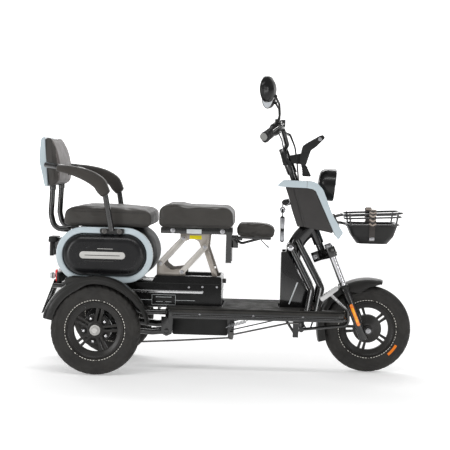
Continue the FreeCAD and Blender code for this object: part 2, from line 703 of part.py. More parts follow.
def build_seat_lift():
    """Four-bar lift: base plates on the box, two links a side, and the carrier under the rider's seat."""
    top = size("box_top")
    offset = size("plate_offset")
    link_y = offset + 6.5
    base = [(-318, top), (-318, 490, 6), (-306, 503, 8), (-288, 496, 6), (-280, 474, 20), (-255, 456, 20),
            (-214, 462, 4), (-196, 464, 8), (-187, 450, 4), (-187, top)]
    right = plate_with_pins("lift_base_right", base, offset, [LOW_REAR, LOW_FRONT], 9.2)
    both_sides("lift_base", right)
    snug = size("pivot_radius") + size("running_gap")
    open_hole = size("pivot_radius") + size("pivot_clearance")
    lift_link("lift_links_rear", LOW_REAR, HIGH_REAR, link_y, snug)
    lift_link("lift_links_front", LOW_FRONT, HIGH_FRONT, link_y, open_hole)
    cheek = [(-214, 626), (-214, 604, 10), (-203, 588, 8), (-182, 592, 6), (-160, 604, 30), (-128, 590, 30),
             (-116, 556, 8), (-98, 550, 10), (-86, 560, 8), (-80, 626)]
    right = plate_with_pins("carrier_cheek", cheek, offset, [HIGH_REAR, HIGH_FRONT], 9.2)
    deck = box("carrier_deck", (-300, -150, 626), (24, 150, 652))
    hollow = box("carrier_hollow", (-292, -142, 620), (-10, 142, 646))
    posts = [box("carrier_post", (-6, side * 62 - 10, 492), (20, side * 62 + 10, 630)) for side in (-1, 1)]
    ears = [box("child_ear", (16, side * 26 - 4, 560), (48, side * 26 + 4, 616)) for side in (-1, 1)]
    inner = across("prop_pin", "Dims.pivot_radius", 24.0, Vector(HIGH_FRONT.x, -93, HIGH_FRONT.z))
    bridge = box("child_bridge", (12, -72, 600), (20, 72, 628))
    right_side = fuse("carrier_right", [right, inner])
    middle = [cut("carrier_tray", deck, [hollow]), bridge]
    frame = fuse("seat_carrier_blank", [right_side, other_side(right_side, "carrier_left")] + middle + posts + ears)
    hole = across("child_pin_hole", 5.06, 100.0, CHILD_HINGE)
    keep("seat_carrier", cut("seat_carrier", frame, [hole]))
    prop = prism("seat_prop_strap", [bar_outline(HIGH_FRONT, PROP_FOOT, 11)], 5.0, place=turned(Vector(0, -88, 0)),
                 circles=[(HIGH_FRONT.x, HIGH_FRONT.z, size("pivot_radius") + size("running_gap"))])
    twin = other_side(prop, "seat_prop_left")
    tie = across("seat_prop_tie", 7.0, 180.0, Vector(PROP_FOOT.x - 14, 0, PROP_FOOT.z + 40))
    keep("seat_prop", fuse("seat_prop", [prop, twin, tie]))


def build_seats():
    """Plain cushions: rear bench on the barrel, rider's seat on the carrier, small front seat."""
    rear = [(-744, 651, 14), (-328, 651, 14), (-330, 727, 26), (-470, 738, 60), (-640, 744, 60), (-742, 728, 26)]
    keep("rear_seat", prism("rear_seat", [rear], "2 * Dims.rear_seat_half"))
    front = [(-320, 653, 14), (40, 653, 14), (36, 748, 34), (-180, 750, 60), (-240, 762, 60), (-318, 752, 30)]
    keep("rider_seat", prism("rider_seat", [front], "2 * Dims.front_seat_half"))
    child = [(53, 617, 10), (216, 612, 10), (220, 664, 20), (160, 674, 40), (54, 679, 16)]
    keep("child_seat", prism("child_seat", [child], "2 * Dims.child_seat_half"))
    rail = prism("child_rail", [[(62, 603), (200, 599, 6), (200, 611.5), (62, 615.5)]], 40.0)
    barrel = across("child_barrel", 11.0, 43.0, CHILD_HINGE)
    pin = across("child_pin", 5.0, 64.0, CHILD_HINGE)
    brace = tube("child_brace", [(46, 0, 590), (64, 0, 580), (150, 0, 604)], 6.0, 20.0)
    neck = prism("child_neck", [[(44, 594), (68, 594), (68, 614), (44, 611)]], 40.0)
    lever = tube("release_lever", [(150, 30, 605), (158, 42, 590), (190, 48, 560)], 2.5, 10.0)
    lever_root = box("lever_root", (142, 14, 600), (156, 34, 611))
    keep("child_seat_frame", fuse("child_seat_frame", [rail, barrel, pin, brace, neck, lever, lever_root]))


# ---------------------------------------------------------------- steering


MIRROR_BALL = Vector(205, -318, 1246)
GRIP_IN = Vector(203, -230, 1107)
GRIP_OUT = Vector(156, -330, 1068)


def along_grip(distance):
    way = GRIP_OUT - GRIP_IN
    way.normalize()
    return GRIP_IN + way * distance


def grip_rotation():
    return Rotation(UP, GRIP_OUT - GRIP_IN)


def grip_cylinder(name, radius, start, end):
    middle = along_grip((start + end) / 2)
    return cylinder(name, radius, end - start, Placement(middle, grip_rotation()))


def build_steering():
    """Stem, lower yoke with its lock lug, handlebar, controls and display."""
    rake = size("rake")
    steerer = cylinder("steerer", "Dims.steerer_radius", 505.0, turned(steered(0, 0, 170), -rake))
    yoke = prism("yoke", [[(-52, -18, 14), (-18, -24, 10), (22, -98, 16), (58, -98, 16), (62, -60, 10),
                           (62, 60, 10), (58, 98, 16), (22, 98, 16), (-18, 24, 10), (-52, 18, 14)]],
                 CLAMP_HIGH - CLAMP_LOW, "XY_Plane", turned(steered(0, 0, CLAMP_LOW), -rake), centred=False)
    clamp = cylinder("bar_clamp", 21.0, 46.0, turned(steered(0, 0, 414), -rake))
    collar = cylinder("stem_collar", 23.0, 60.0, turned(steered(0, 0, 342), -rake))
    sockets = [cylinder("socket", "Dims.stanchion_radius", 60.0,
                        turned(steered(size("fork_lead"), side * size("fork_half_width"), -85), -rake))
               for side in (-1, 1)]
    bar_tool = tube("bar_tool", bar_path(), size("bar_radius"), 34.0)
    keep("steering_stem", cut("steering_stem", fuse("stem_blank", [steerer, yoke, clamp, collar]),
                              sockets + [bar_tool]))
    leg = cylinder("stanchion", "Dims.stanchion_radius", 290.0,
                   turned(steered(size("fork_lead"), -size("fork_half_width"), -201), -rake))
    both_sides("stanchions", leg)
    keep("handlebar", tube("handlebar", bar_path(), size("bar_radius"), 34.0))

    sleeve = grip_cylinder("grip_blank", "Dims.grip_radius", 0, 112)
    bore = grip_cylinder("grip_bore", "Dims.bar_radius", -5, 107.5)
    fixed = cut("grip_right_twin", sleeve, [bore])
    keep("left_grip", other_side(fixed, "left_grip"))
    sleeve = grip_cylinder("throttle_blank", "Dims.grip_radius", 0.6, 112)
    bore = grip_cylinder("throttle_bore", "Dims.bar_radius + Dims.grip_wall_gap", -5, 108.5)
    keep("throttle_grip", cut("throttle_grip", sleeve, [bore]))

    pod = fuse("pod", [grip_cylinder("pod_drum", 24.0, -34, -0.2), grip_cylinder("pod_ring", 20.0, -46, -30)])
    pod_bore = grip_cylinder("pod_bore", "Dims.bar_radius", -60, 10)
    pod_clear = cut("pod_clear", pod, [pod_bore, copy_of(NODES["handlebar"], "bar_in_pod")])

    case = prism("display_case", [[(330, 1014, 8), (336, 1038, 8), (424, 1090, 8), (436, 1076, 8), (398, 1036, 16),
                                   (372, 1016, 10), (352, 950, 8), (330, 946, 8), (322, 972, 8)]], 120.0)
    slim = [box("display_left", (300, 34, 930), (372, 80, 1012)),
            box("display_right", (300, -80, 930), (372, -34, 1012))]
    arm = prism("display_arm", [[(262, 958), (268, 990), (334, 1004), (334, 952)]], 36.0)
    boot = prism("boot", [[(330, 950), (352, 950, 10), (372, 910, 20), (378, 897, 4), (338, 897, 4), (336, 925)]], 54.0)
    stem_tool = cylinder("stem_tool", 23.0, 260.0, turned(steered(0, 0, 342), -rake))
    socket_box = prism("charge_box", [[(232, 1000, 4), (248, 1004, 4), (266, 950, 4), (248, 944, 4)]], 60.0)
    head = fuse("display_blank", [cut("display_body", case, slim), arm, boot, socket_box])
    keep("display", cut("display", head, [stem_tool]))
    build_levers_and_mirrors(pod_clear)


def bar_path():
    right = [tuple(along_grip(107)), tuple(along_grip(-16)), (240, -140, 1112), (262, -78, 1040), (250, -40, 1016)]
    left = [(x, -y, z) for x, y, z in reversed(right)]
    return right + left


def lever_piece(name):
    """A brake lever: pivot boss below the pod and a blade in front of the grip."""
    way = GRIP_OUT - GRIP_IN
    way.normalize()
    ahead = Vector(0.80, -0.38, 0.46)
    pivot = along_grip(-22) + ahead * 40
    blade = [pivot, pivot + way * 40 + ahead * 8, pivot + way * 118 + ahead * 2]
    return tube(name, [tuple(p) for p in blade], 5.0, 30.0), pivot


def build_levers_and_mirrors(pod):
    blade, pivot = lever_piece("brake_blade")
    boss = cylinder("brake_boss", 8.0, 14.0, turned(pivot))
    lever = cut("brake_lever_blank", fuse("brake_lever_solid", [blade, boss]),
                [cylinder("brake_hole", 4.06, 40.0, turned(pivot))])
    keep("right_brake_lever", lever)
    keep("left_brake_lever", other_side(lever, "left_brake_lever"))
    pin = cylinder("lever_pin", 4.0, 30.0, turned(pivot))
    caps = [cylinder("perch_cap", 8.0, 7.0, turned(pivot + UP * side * 11.0)) for side in (-1, 1)]
    arm_end = along_grip(-22)
    reach = arm_end - pivot
    reach.z = 0
    reach.normalize()
    arms = [tube("perch_arm", [tuple(pivot + UP * side * 11.2), tuple(pivot + reach * 13 + UP * side * 11.2),
                               tuple(arm_end + UP * side * 10.2)], 4.0, 10.0) for side in (-1, 1)]
    drum = grip_cylinder("perch_drum", 24.0, -34, -0.2)
    perch = cut("perch_clear", fuse("perch", [pin] + caps + arms), [drum])

    stem_path = [(212, -215, 1126), (226, -222, 1168), (222, -270, 1215), (205, -318, 1246)]
    stem = tube("mirror_stem", stem_path, 5.0, 30.0)
    ball = DOC.addObject("Part::Sphere", "mirror_ball")
    ball.Radius = 8
    ball.Placement = turned(MIRROR_BALL)
    nut = cylinder("mirror_nut", 9.0, 26.0, turned(Vector(214, -216, 1138)))
    solid = fuse("mirror_stem_solid", [stem, ball, nut])
    drum = grip_cylinder("mirror_drum", 24.0, -34, -0.2)
    stem_clear = cut("mirror_stem_clear", solid, [drum])
    both_sides("switch_pods", fuse("controls", [pod, perch, stem_clear]))
    radius = size("mirror_radius")
    bowl = [(0.01, -6), (radius - 4, -6), (radius, -3, 2), (radius - 2, 8, 8), (radius * 0.6, 24, 20), (0.01, 31)]
    head = revolved("mirror_bowl", [bowl])
    head.Placement = Placement(Vector(171, -333, 1276), Rotation(UP, -120))
    pocket = DOC.addObject("Part::Sphere", "mirror_pocket")
    pocket.Radius = 8.35
    pocket.Placement = turned(MIRROR_BALL)
    stem_tool = tube("mirror_stem_tool", stem_path, 8.0, 30.0)
    clear = cut("mirror_clear", head, [pocket, stem_tool])
    keep("right_mirror", clear)
    keep("left_mirror", other_side(clear, "left_mirror"))

    routes = [
        [(232, -196, 1100), (276, -120, 1086), (300, -40, 1030), (312, -26, 950), (320, -22, 874)],
        [(232, 196, 1100), (276, 120, 1086), (300, 40, 1030), (312, 26, 950), (320, 22, 874)],
        [(222, -186, 1091), (238, -110, 1060), (256, -42, 980), (288, -31, 930), (296, -26, 874)],
    ]
    cables = [tube("cable", path, 3.0, 40.0) for path in routes]
    keep("control_cables", group("control_cables", cables))


# ---------------------------------------------------------------- fork, brakes and rear axle


def build_fork():
    """Sliding lower legs with the wheel axle, and the mudguard."""
    rake = size("rake")
    lead, half = size("fork_lead"), size("fork_half_width")
    length = LEG_TOP - FORK_BOTTOM
    pieces = []
    for side in (-1, 1):
        middle = steered(lead, side * half, (LEG_TOP + FORK_BOTTOM) / 2)
        leg = cylinder("leg_blank", "Dims.fork_leg_radius", length, turned(middle, -rake))
        boss = across("axle_boss", 19.0, 24.0, FRONT_AXLE + SIDEWAYS * side * half)
        bore = cylinder("leg_bore", "Dims.stanchion_radius + Dims.running_gap", 160.0,
                        turned(steered(lead, side * half, LEG_TOP - 72), -rake))
        pieces.append(cut("leg", fuse("leg_with_boss", [leg, boss]), [bore]))
    pieces.append(across("front_axle", "Dims.axle_radius", 2 * half, FRONT_AXLE))
    for side in (-1, 1):
        pieces.append(across("axle_nut", 12.0, 10.0, FRONT_AXLE + SIDEWAYS * side * (half + 17)))
        pieces.append(across("axle_spacer", 11.0, 34.0, FRONT_AXLE + SIDEWAYS * side * 44.5))
    keep("fork_legs", fuse("fork_legs", pieces))
    guard = mudguard("front_mudguard", FRONT_AXLE, size("front_guard_radius"), 182.0, 50.0, 74, 196)
    keep("front_mudguard", guard)


def build_rear_axle():
    """Sprung swing arms, driven axle with its motor case, and the drums."""
    arms = []
    for side in (-1, 1):
        arms.append(tube("swing_arm", [(-263, side * 143, 185), (-330, side * 143, 178), (-566, side * 160, 200)],
                         17.0, 60.0))
        arms.append(across("pivot_eye", 22.0, 23.0, Vector(-263, side * 150, 185)))
        arms.append(across("pivot_pin", 10.0, 24.0, Vector(-263, side * 160, 185)))
    arms.append(across("pivot_tube", 14.0, 300.0, SWING_PIVOT))
    arms.append(across("axle_tube", 30.0, 450.0, REAR_AXLE))
    arms.append(across("motor_case", 82.0, 150.0, REAR_AXLE))
    arms.append(across("gear_case", 62.0, 210.0, REAR_AXLE))
    for side in (-1, 1):
        arms.append(across("brake_drum", 66.0, 42.0, REAR_AXLE + SIDEWAYS * side * 246))
    for side in (-1, 1):
        arms.append(across("stub_axle", "Dims.axle_radius", 90.0, REAR_AXLE + SIDEWAYS * side * 305))
    keep("rear_axle", fuse("rear_axle", arms))


def build_pedal():
    """Foot brake pedal round the front of the deck and the rods that run back from it."""
    y = -198
    pad = prism("pedal_pad", [[(424, 356, 5), (436, 342, 5), (508, 398, 5), (497, 414, 5)]], 54.0,
                place=turned(Vector(0, y, 0)))
    arm = tube("pedal_arm", [(470, y, 376), (553, y, 300), (557, y, 236), (PEDAL_PIVOT.x, y, PEDAL_PIVOT.z)],
               7.0, 26.0)
    boss = across("pedal_boss", 12.0, 24.0, Vector(PEDAL_PIVOT.x, y, PEDAL_PIVOT.z))
    horn = tube("pedal_horn", [(PEDAL_PIVOT.x, y, PEDAL_PIVOT.z), (PEDAL_PIVOT.x, y, 244)], 5.0)
    hole = across("pedal_hole", "Dims.pivot_radius + Dims.running_gap", 60.0,
                  Vector(PEDAL_PIVOT.x, y, PEDAL_PIVOT.z))
    keep("brake_pedal", cut("brake_pedal", fuse("pedal_blank", [pad, arm, boss, horn]), [hole]))
    front = tube("front_rod", [(336, y, 240), (290, -176, 236), (34, -144, 172)], 4.0, 60.0)
    rear = tube("rear_rod", [(30, -144, 158), (-200, -144, 140), (-384, -144, 128)], 4.0, 60.0)
    crank = prism("rod_crank", [[(22, 184), (38, 184), (38, 150), (22, 150)]], 6.0, place=turned(Vector(0, -144, 0)))
    keep("brake_rods", fuse("brake_rods", [front, rear, crank]))


def build_key():
    """Key with a ring, a short chain and a fob, hanging at the lock."""
    x, y = KEY_HANG.x, KEY_HANG.y
    ring = DOC.addObject("Part::Torus", "key_ring")
    ring.Radius1 = 11
    ring.Radius2 = 2
    ring.Placement = Placement(Vector(x, y, 744), Rotation(Vector(1, 0, 0), 90))
    chain = tube("key_chain", [(x, y, 733), (x, y, 712)], 2.5)
    fob = prism("key_fob_body", [[(x - 11, 716, 8), (x + 11, 712, 8), (x + 9, 650, 8), (x + 11, 596, 10),
                                  (x - 11, 596, 10), (x - 9, 650, 8)]], 14.0, place=turned(Vector(0, y, 0)))
    shank = cylinder("key_shank", 2.5, 16.0, turned(Vector(x, y, 762)))
    keep("key_and_fob", fuse("key_and_fob", [ring, chain, fob, shank]))


def build_all():
    wheel("front", FRONT_AXLE, size("axle_radius") + size("running_gap"))
    for name, side in (("rear_right", -1), ("rear_left", 1)):
        centre = REAR_AXLE + SIDEWAYS * side * size("rear_track_half")
        wheel(name, centre, size("axle_radius") + size("running_gap"))
    build_frame()
    build_boxes()
    build_leg_shield()
    build_shroud()
    build_headlight()
    build_basket()
    build_barrel()
    build_fenders()
    build_tail()
    build_backrest()
    build_armrests()
    build_seat_lift()
    build_seats()
    build_steering()
    build_fork()
    build_rear_axle()
    build_pedal()
    build_key()


def check_and_write():
    """Refuse any failed feature or bad shape, then write one file per sub-part."""
    DOC.recompute()
    for thing in DOC.Objects:
        if "Invalid" in thing.State or "Error" in thing.State:
            raise RuntimeError("%s (%s) failed: %s" % (thing.Name, thing.Label, thing.State))
    for label, thing in NODES.items():
        shape = thing.Shape
        if shape.isNull() or not shape.isValid() or not shape.Solids:
            raise RuntimeError("%s has no valid solid" % label)
    os.makedirs("parts", exist_ok=True)
    for label, thing in NODES.items():
        thing.Shape.exportStep(os.path.join("parts", label + ".step"))
    print(len(NODES), "sub-parts written")


build_all()
check_and_write()
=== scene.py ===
"""Looks of the two-seat adult tricycle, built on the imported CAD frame.

Metres; +X forward, +Y rider's left, +Z up.
"""
import json
import math

import bmesh
import bpy
from mathutils import Matrix, Vector
from mathutils.bvhtree import BVHTree

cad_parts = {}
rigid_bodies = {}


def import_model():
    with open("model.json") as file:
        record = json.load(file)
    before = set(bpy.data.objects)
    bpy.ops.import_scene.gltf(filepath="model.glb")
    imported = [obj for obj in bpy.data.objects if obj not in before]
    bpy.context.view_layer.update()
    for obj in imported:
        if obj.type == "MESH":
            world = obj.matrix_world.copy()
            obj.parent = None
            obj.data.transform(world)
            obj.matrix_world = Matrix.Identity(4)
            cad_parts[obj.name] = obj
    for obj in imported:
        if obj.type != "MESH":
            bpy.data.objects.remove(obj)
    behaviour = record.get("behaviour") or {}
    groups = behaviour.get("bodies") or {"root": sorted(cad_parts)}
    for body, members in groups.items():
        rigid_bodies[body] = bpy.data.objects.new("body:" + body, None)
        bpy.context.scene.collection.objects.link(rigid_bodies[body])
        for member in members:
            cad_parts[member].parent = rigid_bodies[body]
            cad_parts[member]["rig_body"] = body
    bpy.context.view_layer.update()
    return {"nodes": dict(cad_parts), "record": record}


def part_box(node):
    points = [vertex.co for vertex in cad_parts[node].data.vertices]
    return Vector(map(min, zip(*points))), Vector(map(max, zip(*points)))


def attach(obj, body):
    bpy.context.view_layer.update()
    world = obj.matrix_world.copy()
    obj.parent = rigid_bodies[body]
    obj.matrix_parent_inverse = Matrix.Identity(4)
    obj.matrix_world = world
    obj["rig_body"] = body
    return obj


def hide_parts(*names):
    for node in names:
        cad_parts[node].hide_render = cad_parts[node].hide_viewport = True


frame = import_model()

NODES = frame["nodes"]
BODY_OF = {node: body for body, nodes in frame["record"]["behaviour"]["bodies"].items() for node in nodes}
RAKE = math.radians(22.3)
HEAD = Vector((0.409, 0, 0.620))
FORWARD = Vector((math.cos(RAKE), 0, math.sin(RAKE)))
UPWARD = Vector((-math.sin(RAKE), 0, math.cos(RAKE)))
SIDE = Vector((0, 1, 0))
GRIP_IN = Vector((0.203, -0.230, 1.107))
GRIP_OUT = Vector((0.156, -0.330, 1.068))
FRONT_AXLE = Vector((0.654, 0, 0.2))
REAR_AXLE = Vector((-0.566, 0, 0.2))


def steered(forward, side, up):
    return HEAD + FORWARD * forward + SIDE * side + UPWARD * up


# ---------------------------------------------------------------- materials


class Finish:
    """A Principled material with helpers for colour drift, bump and roughness drift in object space."""

    def __init__(self, name, colour, roughness, metallic=0.0, coat=0.0, specular=0.5):
        self.material = bpy.data.materials.new(name)
        self.material.use_nodes = True
        self.nodes = self.material.node_tree.nodes
        self.links = self.material.node_tree.links
        self.bsdf = self.nodes["Principled BSDF"]
        self.bsdf.inputs["Base Color"].default_value = (*colour, 1)
        self.bsdf.inputs["Roughness"].default_value = roughness
        self.bsdf.inputs["Metallic"].default_value = metallic
        self.bsdf.inputs["Coat Weight"].default_value = coat
        self.bsdf.inputs["Coat Roughness"].default_value = 0.06
        self.bsdf.inputs["Specular IOR Level"].default_value = specular
        self.colour = colour
        self.where = self.nodes.new("ShaderNodeTexCoord").outputs["Object"]
        self.normal = None

    def add(self, kind, **settings):
        node = self.nodes.new(kind)
        for key, value in settings.items():
            if key in ("operation", "data_type", "feature", "interpolation_type", "distance", "wave_type",
                       "bands_direction", "noise_dimensions"):
                setattr(node, key, value)
        return node

    def math(self, operation, first, second=0.0, third=None):
        node = self.add("ShaderNodeMath", operation=operation)
        for socket, value in zip(node.inputs, (first, second, third)):
            if value is None:
                continue
            if hasattr(value, "links"):
                self.links.new(value, socket)
            else:
                socket.default_value = value
        return node.outputs[0]

    def noise(self, scale, detail=3.0, where=None):
        node = self.add("ShaderNodeTexNoise")
        node.inputs["Scale"].default_value = scale
        node.inputs["Detail"].default_value = detail
        self.links.new(where or self.where, node.inputs["Vector"])
        return node.outputs["Fac"]

    def cells(self, scale, feature="F1"):
        node = self.add("ShaderNodeTexVoronoi", feature=feature)
        node.inputs["Scale"].default_value = scale
        self.links.new(self.where, node.inputs["Vector"])
        return node.outputs["Distance"]

    def bump(self, height, strength, distance=0.001):
        node = self.add("ShaderNodeBump")
        node.inputs["Strength"].default_value = strength
        node.inputs["Distance"].default_value = distance
        self.links.new(height, node.inputs["Height"])
        if self.normal is not None:
            self.links.new(self.normal, node.inputs["Normal"])
        self.normal = node.outputs["Normal"]
        self.links.new(self.normal, self.bsdf.inputs["Normal"])
        return self

    def mix(self, factor, first, second):
        node = self.add("ShaderNodeMix", data_type="RGBA")
        self.links.new(factor, node.inputs[0])
        for socket, value in ((node.inputs[6], first), (node.inputs[7], second)):
            if hasattr(value, "links"):
                self.links.new(value, socket)
            else:
                socket.default_value = (*value, 1)
        return node.outputs[2]

    def spread(self, value, low, high, start=0.35, stop=0.65):
        node = self.add("ShaderNodeMapRange")
        node.inputs["From Min"].default_value = start
        node.inputs["From Max"].default_value = stop
        node.inputs["To Min"].default_value = low
        node.inputs["To Max"].default_value = high
        self.links.new(value, node.inputs["Value"])
        return node.outputs["Result"]

    def drift(self, other, scale=9.0, reach=0.5):
        """Slow patches of a second colour."""
        factor = self.spread(self.noise(scale, 4.0), 0.0, reach)
        self.links.new(self.mix(factor, self.colour, other), self.bsdf.inputs["Base Color"])
        return self

    def patchy(self, low, high, scale=25.0):
        """Roughness that wanders between two values."""
        self.links.new(self.spread(self.noise(scale, 5.0), low, high), self.bsdf.inputs["Roughness"])
        return self


def gloss_paint(name, colour, other, metallic=0.0):
    """Sprayed and baked enamel: clear top, faint orange peel, slight dust."""
    f = Finish(name, colour, 0.2, metallic, coat=0.8, specular=0.5)
    f.drift(other, 6.0, 0.6).patchy(0.12, 0.26, 14.0)
    return f.bump(f.noise(320.0, 2.0), 0.05, 0.0006).material


def plastic(name, colour, other, low, high, grain=900.0, depth=0.12):
    """Injection moulded plastic with spark grain."""
    f = Finish(name, colour, low, specular=0.38).drift(other, 11.0, 0.7).patchy(low, high, 18.0)
    return f.bump(f.cells(grain), depth, 0.0004).bump(f.noise(60.0, 2.0), 0.04, 0.001).material


def hide(name, colour, other, low=0.38, high=0.55):
    """Upholstery leather cloth: pebble grain, creases and a soft sheen."""
    f = Finish(name, colour, low, specular=0.24).drift(other, 7.0, 0.8).patchy(low, high, 22.0)
    f.bsdf.inputs["Sheen Weight"].default_value = 0.08
    return f.bump(f.cells(420.0, "SMOOTH_F1"), 0.45, 0.0006).bump(f.noise(34.0, 5.0), 0.16, 0.0016).material


def metal(name, colour, low, high, scale=60.0, grain=0.05):
    f = Finish(name, colour, low, metallic=1.0).patchy(low, high, scale)
    f.drift(tuple(c * 0.82 for c in colour), 30.0, 0.6)
    return f.bump(f.noise(240.0, 3.0), grain, 0.0004).material


def lens(name, colour, ribs=900.0):
    """Moulded clear-coloured reflector plastic with prisms behind a smooth face, and a painted glow of its
    own colour.
    """
    f = Finish(name, colour, 0.12, coat=0.8, specular=0.7)
    # Painted glow: the lens emits a faint light of its own colour, so reflectors and lamp glasses shine
    # though nothing lights them.
    f.bsdf.inputs["Emission Color"].default_value = (*colour, 1)
    f.bsdf.inputs["Emission Strength"].default_value = 0.22
    f.drift(tuple(min(1.0, c * 1.6 + 0.02) for c in colour), 60.0, 0.7)
    return f.bump(f.cells(ribs), 0.5, 0.0008).material


def tyre_rubber():
    """Dusty black rubber; a dashed light ring beside the rim, measured from the wheel's own centre."""
    f = Finish("tyre_rubber", (0.022, 0.021, 0.020), 0.7, specular=0.3)
    split = f.add("ShaderNodeSeparateXYZ")
    f.links.new(f.where, split.inputs[0])
    x, z = split.outputs[0], split.outputs[2]
    radius = f.math("SQRT", f.math("ADD", f.math("MULTIPLY", x, x), f.math("MULTIPLY", z, z)))
    angle = f.math("ARCTAN2", z, x)
    dashes = f.math("GREATER_THAN", f.math("SINE", f.math("MULTIPLY", angle, 66.0)), -0.25)
    band = f.math("LESS_THAN", f.math("ABSOLUTE", f.math("SUBTRACT", radius, 0.1334)), 0.0014)
    worn = f.math("GREATER_THAN", f.noise(90.0, 2.0), 0.40)
    ring = f.math("MULTIPLY", f.math("MULTIPLY", dashes, band), worn)
    dust = f.mix(f.spread(f.noise(16.0, 6.0), 0.0, 0.75), f.colour, (0.036, 0.034, 0.031))
    tread = f.math("GREATER_THAN", radius, 0.196)
    dusty = f.mix(f.math("MULTIPLY", tread, 0.35), dust, (0.060, 0.056, 0.052))
    f.links.new(f.mix(ring, dusty, (0.72, 0.70, 0.64)), f.bsdf.inputs["Base Color"])
    f.patchy(0.55, 0.82, 30.0)
    rings = f.math("SINE", f.math("MULTIPLY", radius, 2600.0))
    return f.bump(rings, 0.10, 0.0005).bump(f.noise(260.0, 4.0), 0.25, 0.0005).material


def ribbed_rubber(name, colour, pitch, axis):
    """Moulded rubber with fine straight ribs across one axis."""
    f = Finish(name, colour, 0.6, specular=0.35)
    f.drift(tuple(c * 1.8 for c in colour), 9.0, 0.8).patchy(0.5, 0.75)
    split = f.add("ShaderNodeSeparateXYZ")
    f.links.new(f.where, split.inputs[0])
    wave = f.math("SINE", f.math("MULTIPLY", split.outputs[axis], 2 * math.pi / pitch))
    return f.bump(wave, 0.5, 0.0012).bump(f.noise(500.0, 3.0), 0.2, 0.0004).material


BLACK = gloss_paint("gloss_black", (0.003, 0.003, 0.003), (0.006, 0.006, 0.006))
SATIN = gloss_paint("satin_black", (0.006, 0.006, 0.006), (0.010, 0.010, 0.009))
PLASTIC = plastic("black_plastic", (0.009, 0.009, 0.009), (0.014, 0.014, 0.013), 0.34, 0.5)
SHINY = plastic("shiny_black_plastic", (0.004, 0.004, 0.004), (0.007, 0.007, 0.007), 0.16, 0.26, 1400.0, 0.03)
BARREL = plastic("barrel_black", (0.007, 0.007, 0.008), (0.011, 0.011, 0.012), 0.24, 0.33, 1300.0, 0.05)
FENDER = plastic("fender_black", (0.009, 0.009, 0.008), (0.015, 0.014, 0.013), 0.30, 0.44, 1100.0, 0.1)
PANEL = plastic("panel_grey", (0.034, 0.032, 0.031), (0.044, 0.041, 0.040), 0.42, 0.56, 800.0, 0.2)
BLUE = gloss_paint("light_blue", (0.50, 0.58, 0.62), (0.55, 0.63, 0.67))
BEIGE = gloss_paint("beige_paint", (0.37, 0.33, 0.29), (0.44, 0.40, 0.35), 0.25)
# Lit copy of the beige paint: the lift links are the same paint as the plates, made lighter as painted light
# for the stronger light they catch.
BEIGE_LIT = gloss_paint("pale_paint", (0.52, 0.49, 0.45), (0.60, 0.57, 0.53), 0.2)
PEDAL = gloss_paint("pedal_paint", (0.62, 0.62, 0.62), (0.52, 0.52, 0.52), 0.3)
LEATHER = hide("seat_leather", (0.038, 0.034, 0.030), (0.050, 0.045, 0.040))
# Lighter copy of the seat leather; on the seats it sets the sides against the darker tops as painted light.
SIDE_LEATHER = hide("side_leather", (0.046, 0.043, 0.039), (0.060, 0.056, 0.052))
TAUPE = hide("taupe_leather", (0.120, 0.106, 0.102), (0.150, 0.134, 0.128))
STITCH = hide("piping", (0.034, 0.032, 0.030), (0.050, 0.047, 0.044), 0.45, 0.6)
TYRE = tyre_rubber()
RIM = plastic("rim_black", (0.018, 0.017, 0.016), (0.028, 0.026, 0.024), 0.30, 0.42, 1000.0, 0.1)
TUB = plastic("barrel_body", (0.006, 0.008, 0.009), (0.010, 0.012, 0.013), 0.5, 0.62, 1300.0, 0.05)
TUB.node_tree.nodes["Principled BSDF"].inputs["Specular IOR Level"].default_value = 0.12
MAT = ribbed_rubber("mat_rubber", (0.022, 0.021, 0.019), 0.012, 1)
GRIP = ribbed_rubber("grip_rubber", (0.012, 0.012, 0.012), 0.0045, 1)
GRIP_END = plastic("grip_end", (0.26, 0.26, 0.25), (0.20, 0.20, 0.19), 0.35, 0.5)
FOB = metal("fob_silver", (0.42, 0.43, 0.45), 0.2, 0.35)
CHROME = metal("chrome", (0.72, 0.72, 0.74), 0.06, 0.14, 60.0, 0.006)
STEEL = metal("steel", (0.50, 0.50, 0.52), 0.25, 0.42)
DARK_STEEL = metal("dark_steel", (0.16, 0.155, 0.15), 0.3, 0.5)
CABLE = ribbed_rubber("cable_black", (0.016, 0.016, 0.017), 0.002, 2)
AMBER = lens("amber_lens", (0.80, 0.17, 0.0))
YELLOW_LENS = lens("yellow_lens", (0.92, 0.36, 0.0))
RED = lens("red_lens", (0.75, 0.01, 0.015))
CLEAR = lens("clear_lens", (0.45, 0.47, 0.48))
GLASS = metal("mirror_glass", (0.40, 0.42, 0.44), 0.02, 0.05, 60.0, 0.004)
LABEL_YELLOW = plastic("yellow_label", (0.92, 0.78, 0.0), (0.86, 0.72, 0.0), 0.35, 0.5, 600.0, 0.05)
LABEL_PALE = plastic("pale_label", (0.74, 0.77, 0.78), (0.66, 0.70, 0.71), 0.35, 0.5, 600.0, 0.05)
ORANGE = plastic("orange_label", (0.90, 0.22, 0.005), (0.80, 0.18, 0.005), 0.4, 0.6, 600.0, 0.05)
BADGE = plastic("badge_white", (0.62, 0.61, 0.59), (0.54, 0.53, 0.51), 0.25, 0.4, 900.0, 0.05)
TAN = hide("strap_light", (0.36, 0.30, 0.26), (0.44, 0.38, 0.33), 0.5, 0.7)
STRAP = hide("strap_dark", (0.050, 0.045, 0.042), (0.085, 0.078, 0.072), 0.5, 0.7)


# ---------------------------------------------------------------- mesh helpers


def paint(node, *materials):
    """Give a CAD node its material."""
    mesh = NODES[node].data
    mesh.materials.clear()
    for material in materials:
        mesh.materials.append(material)


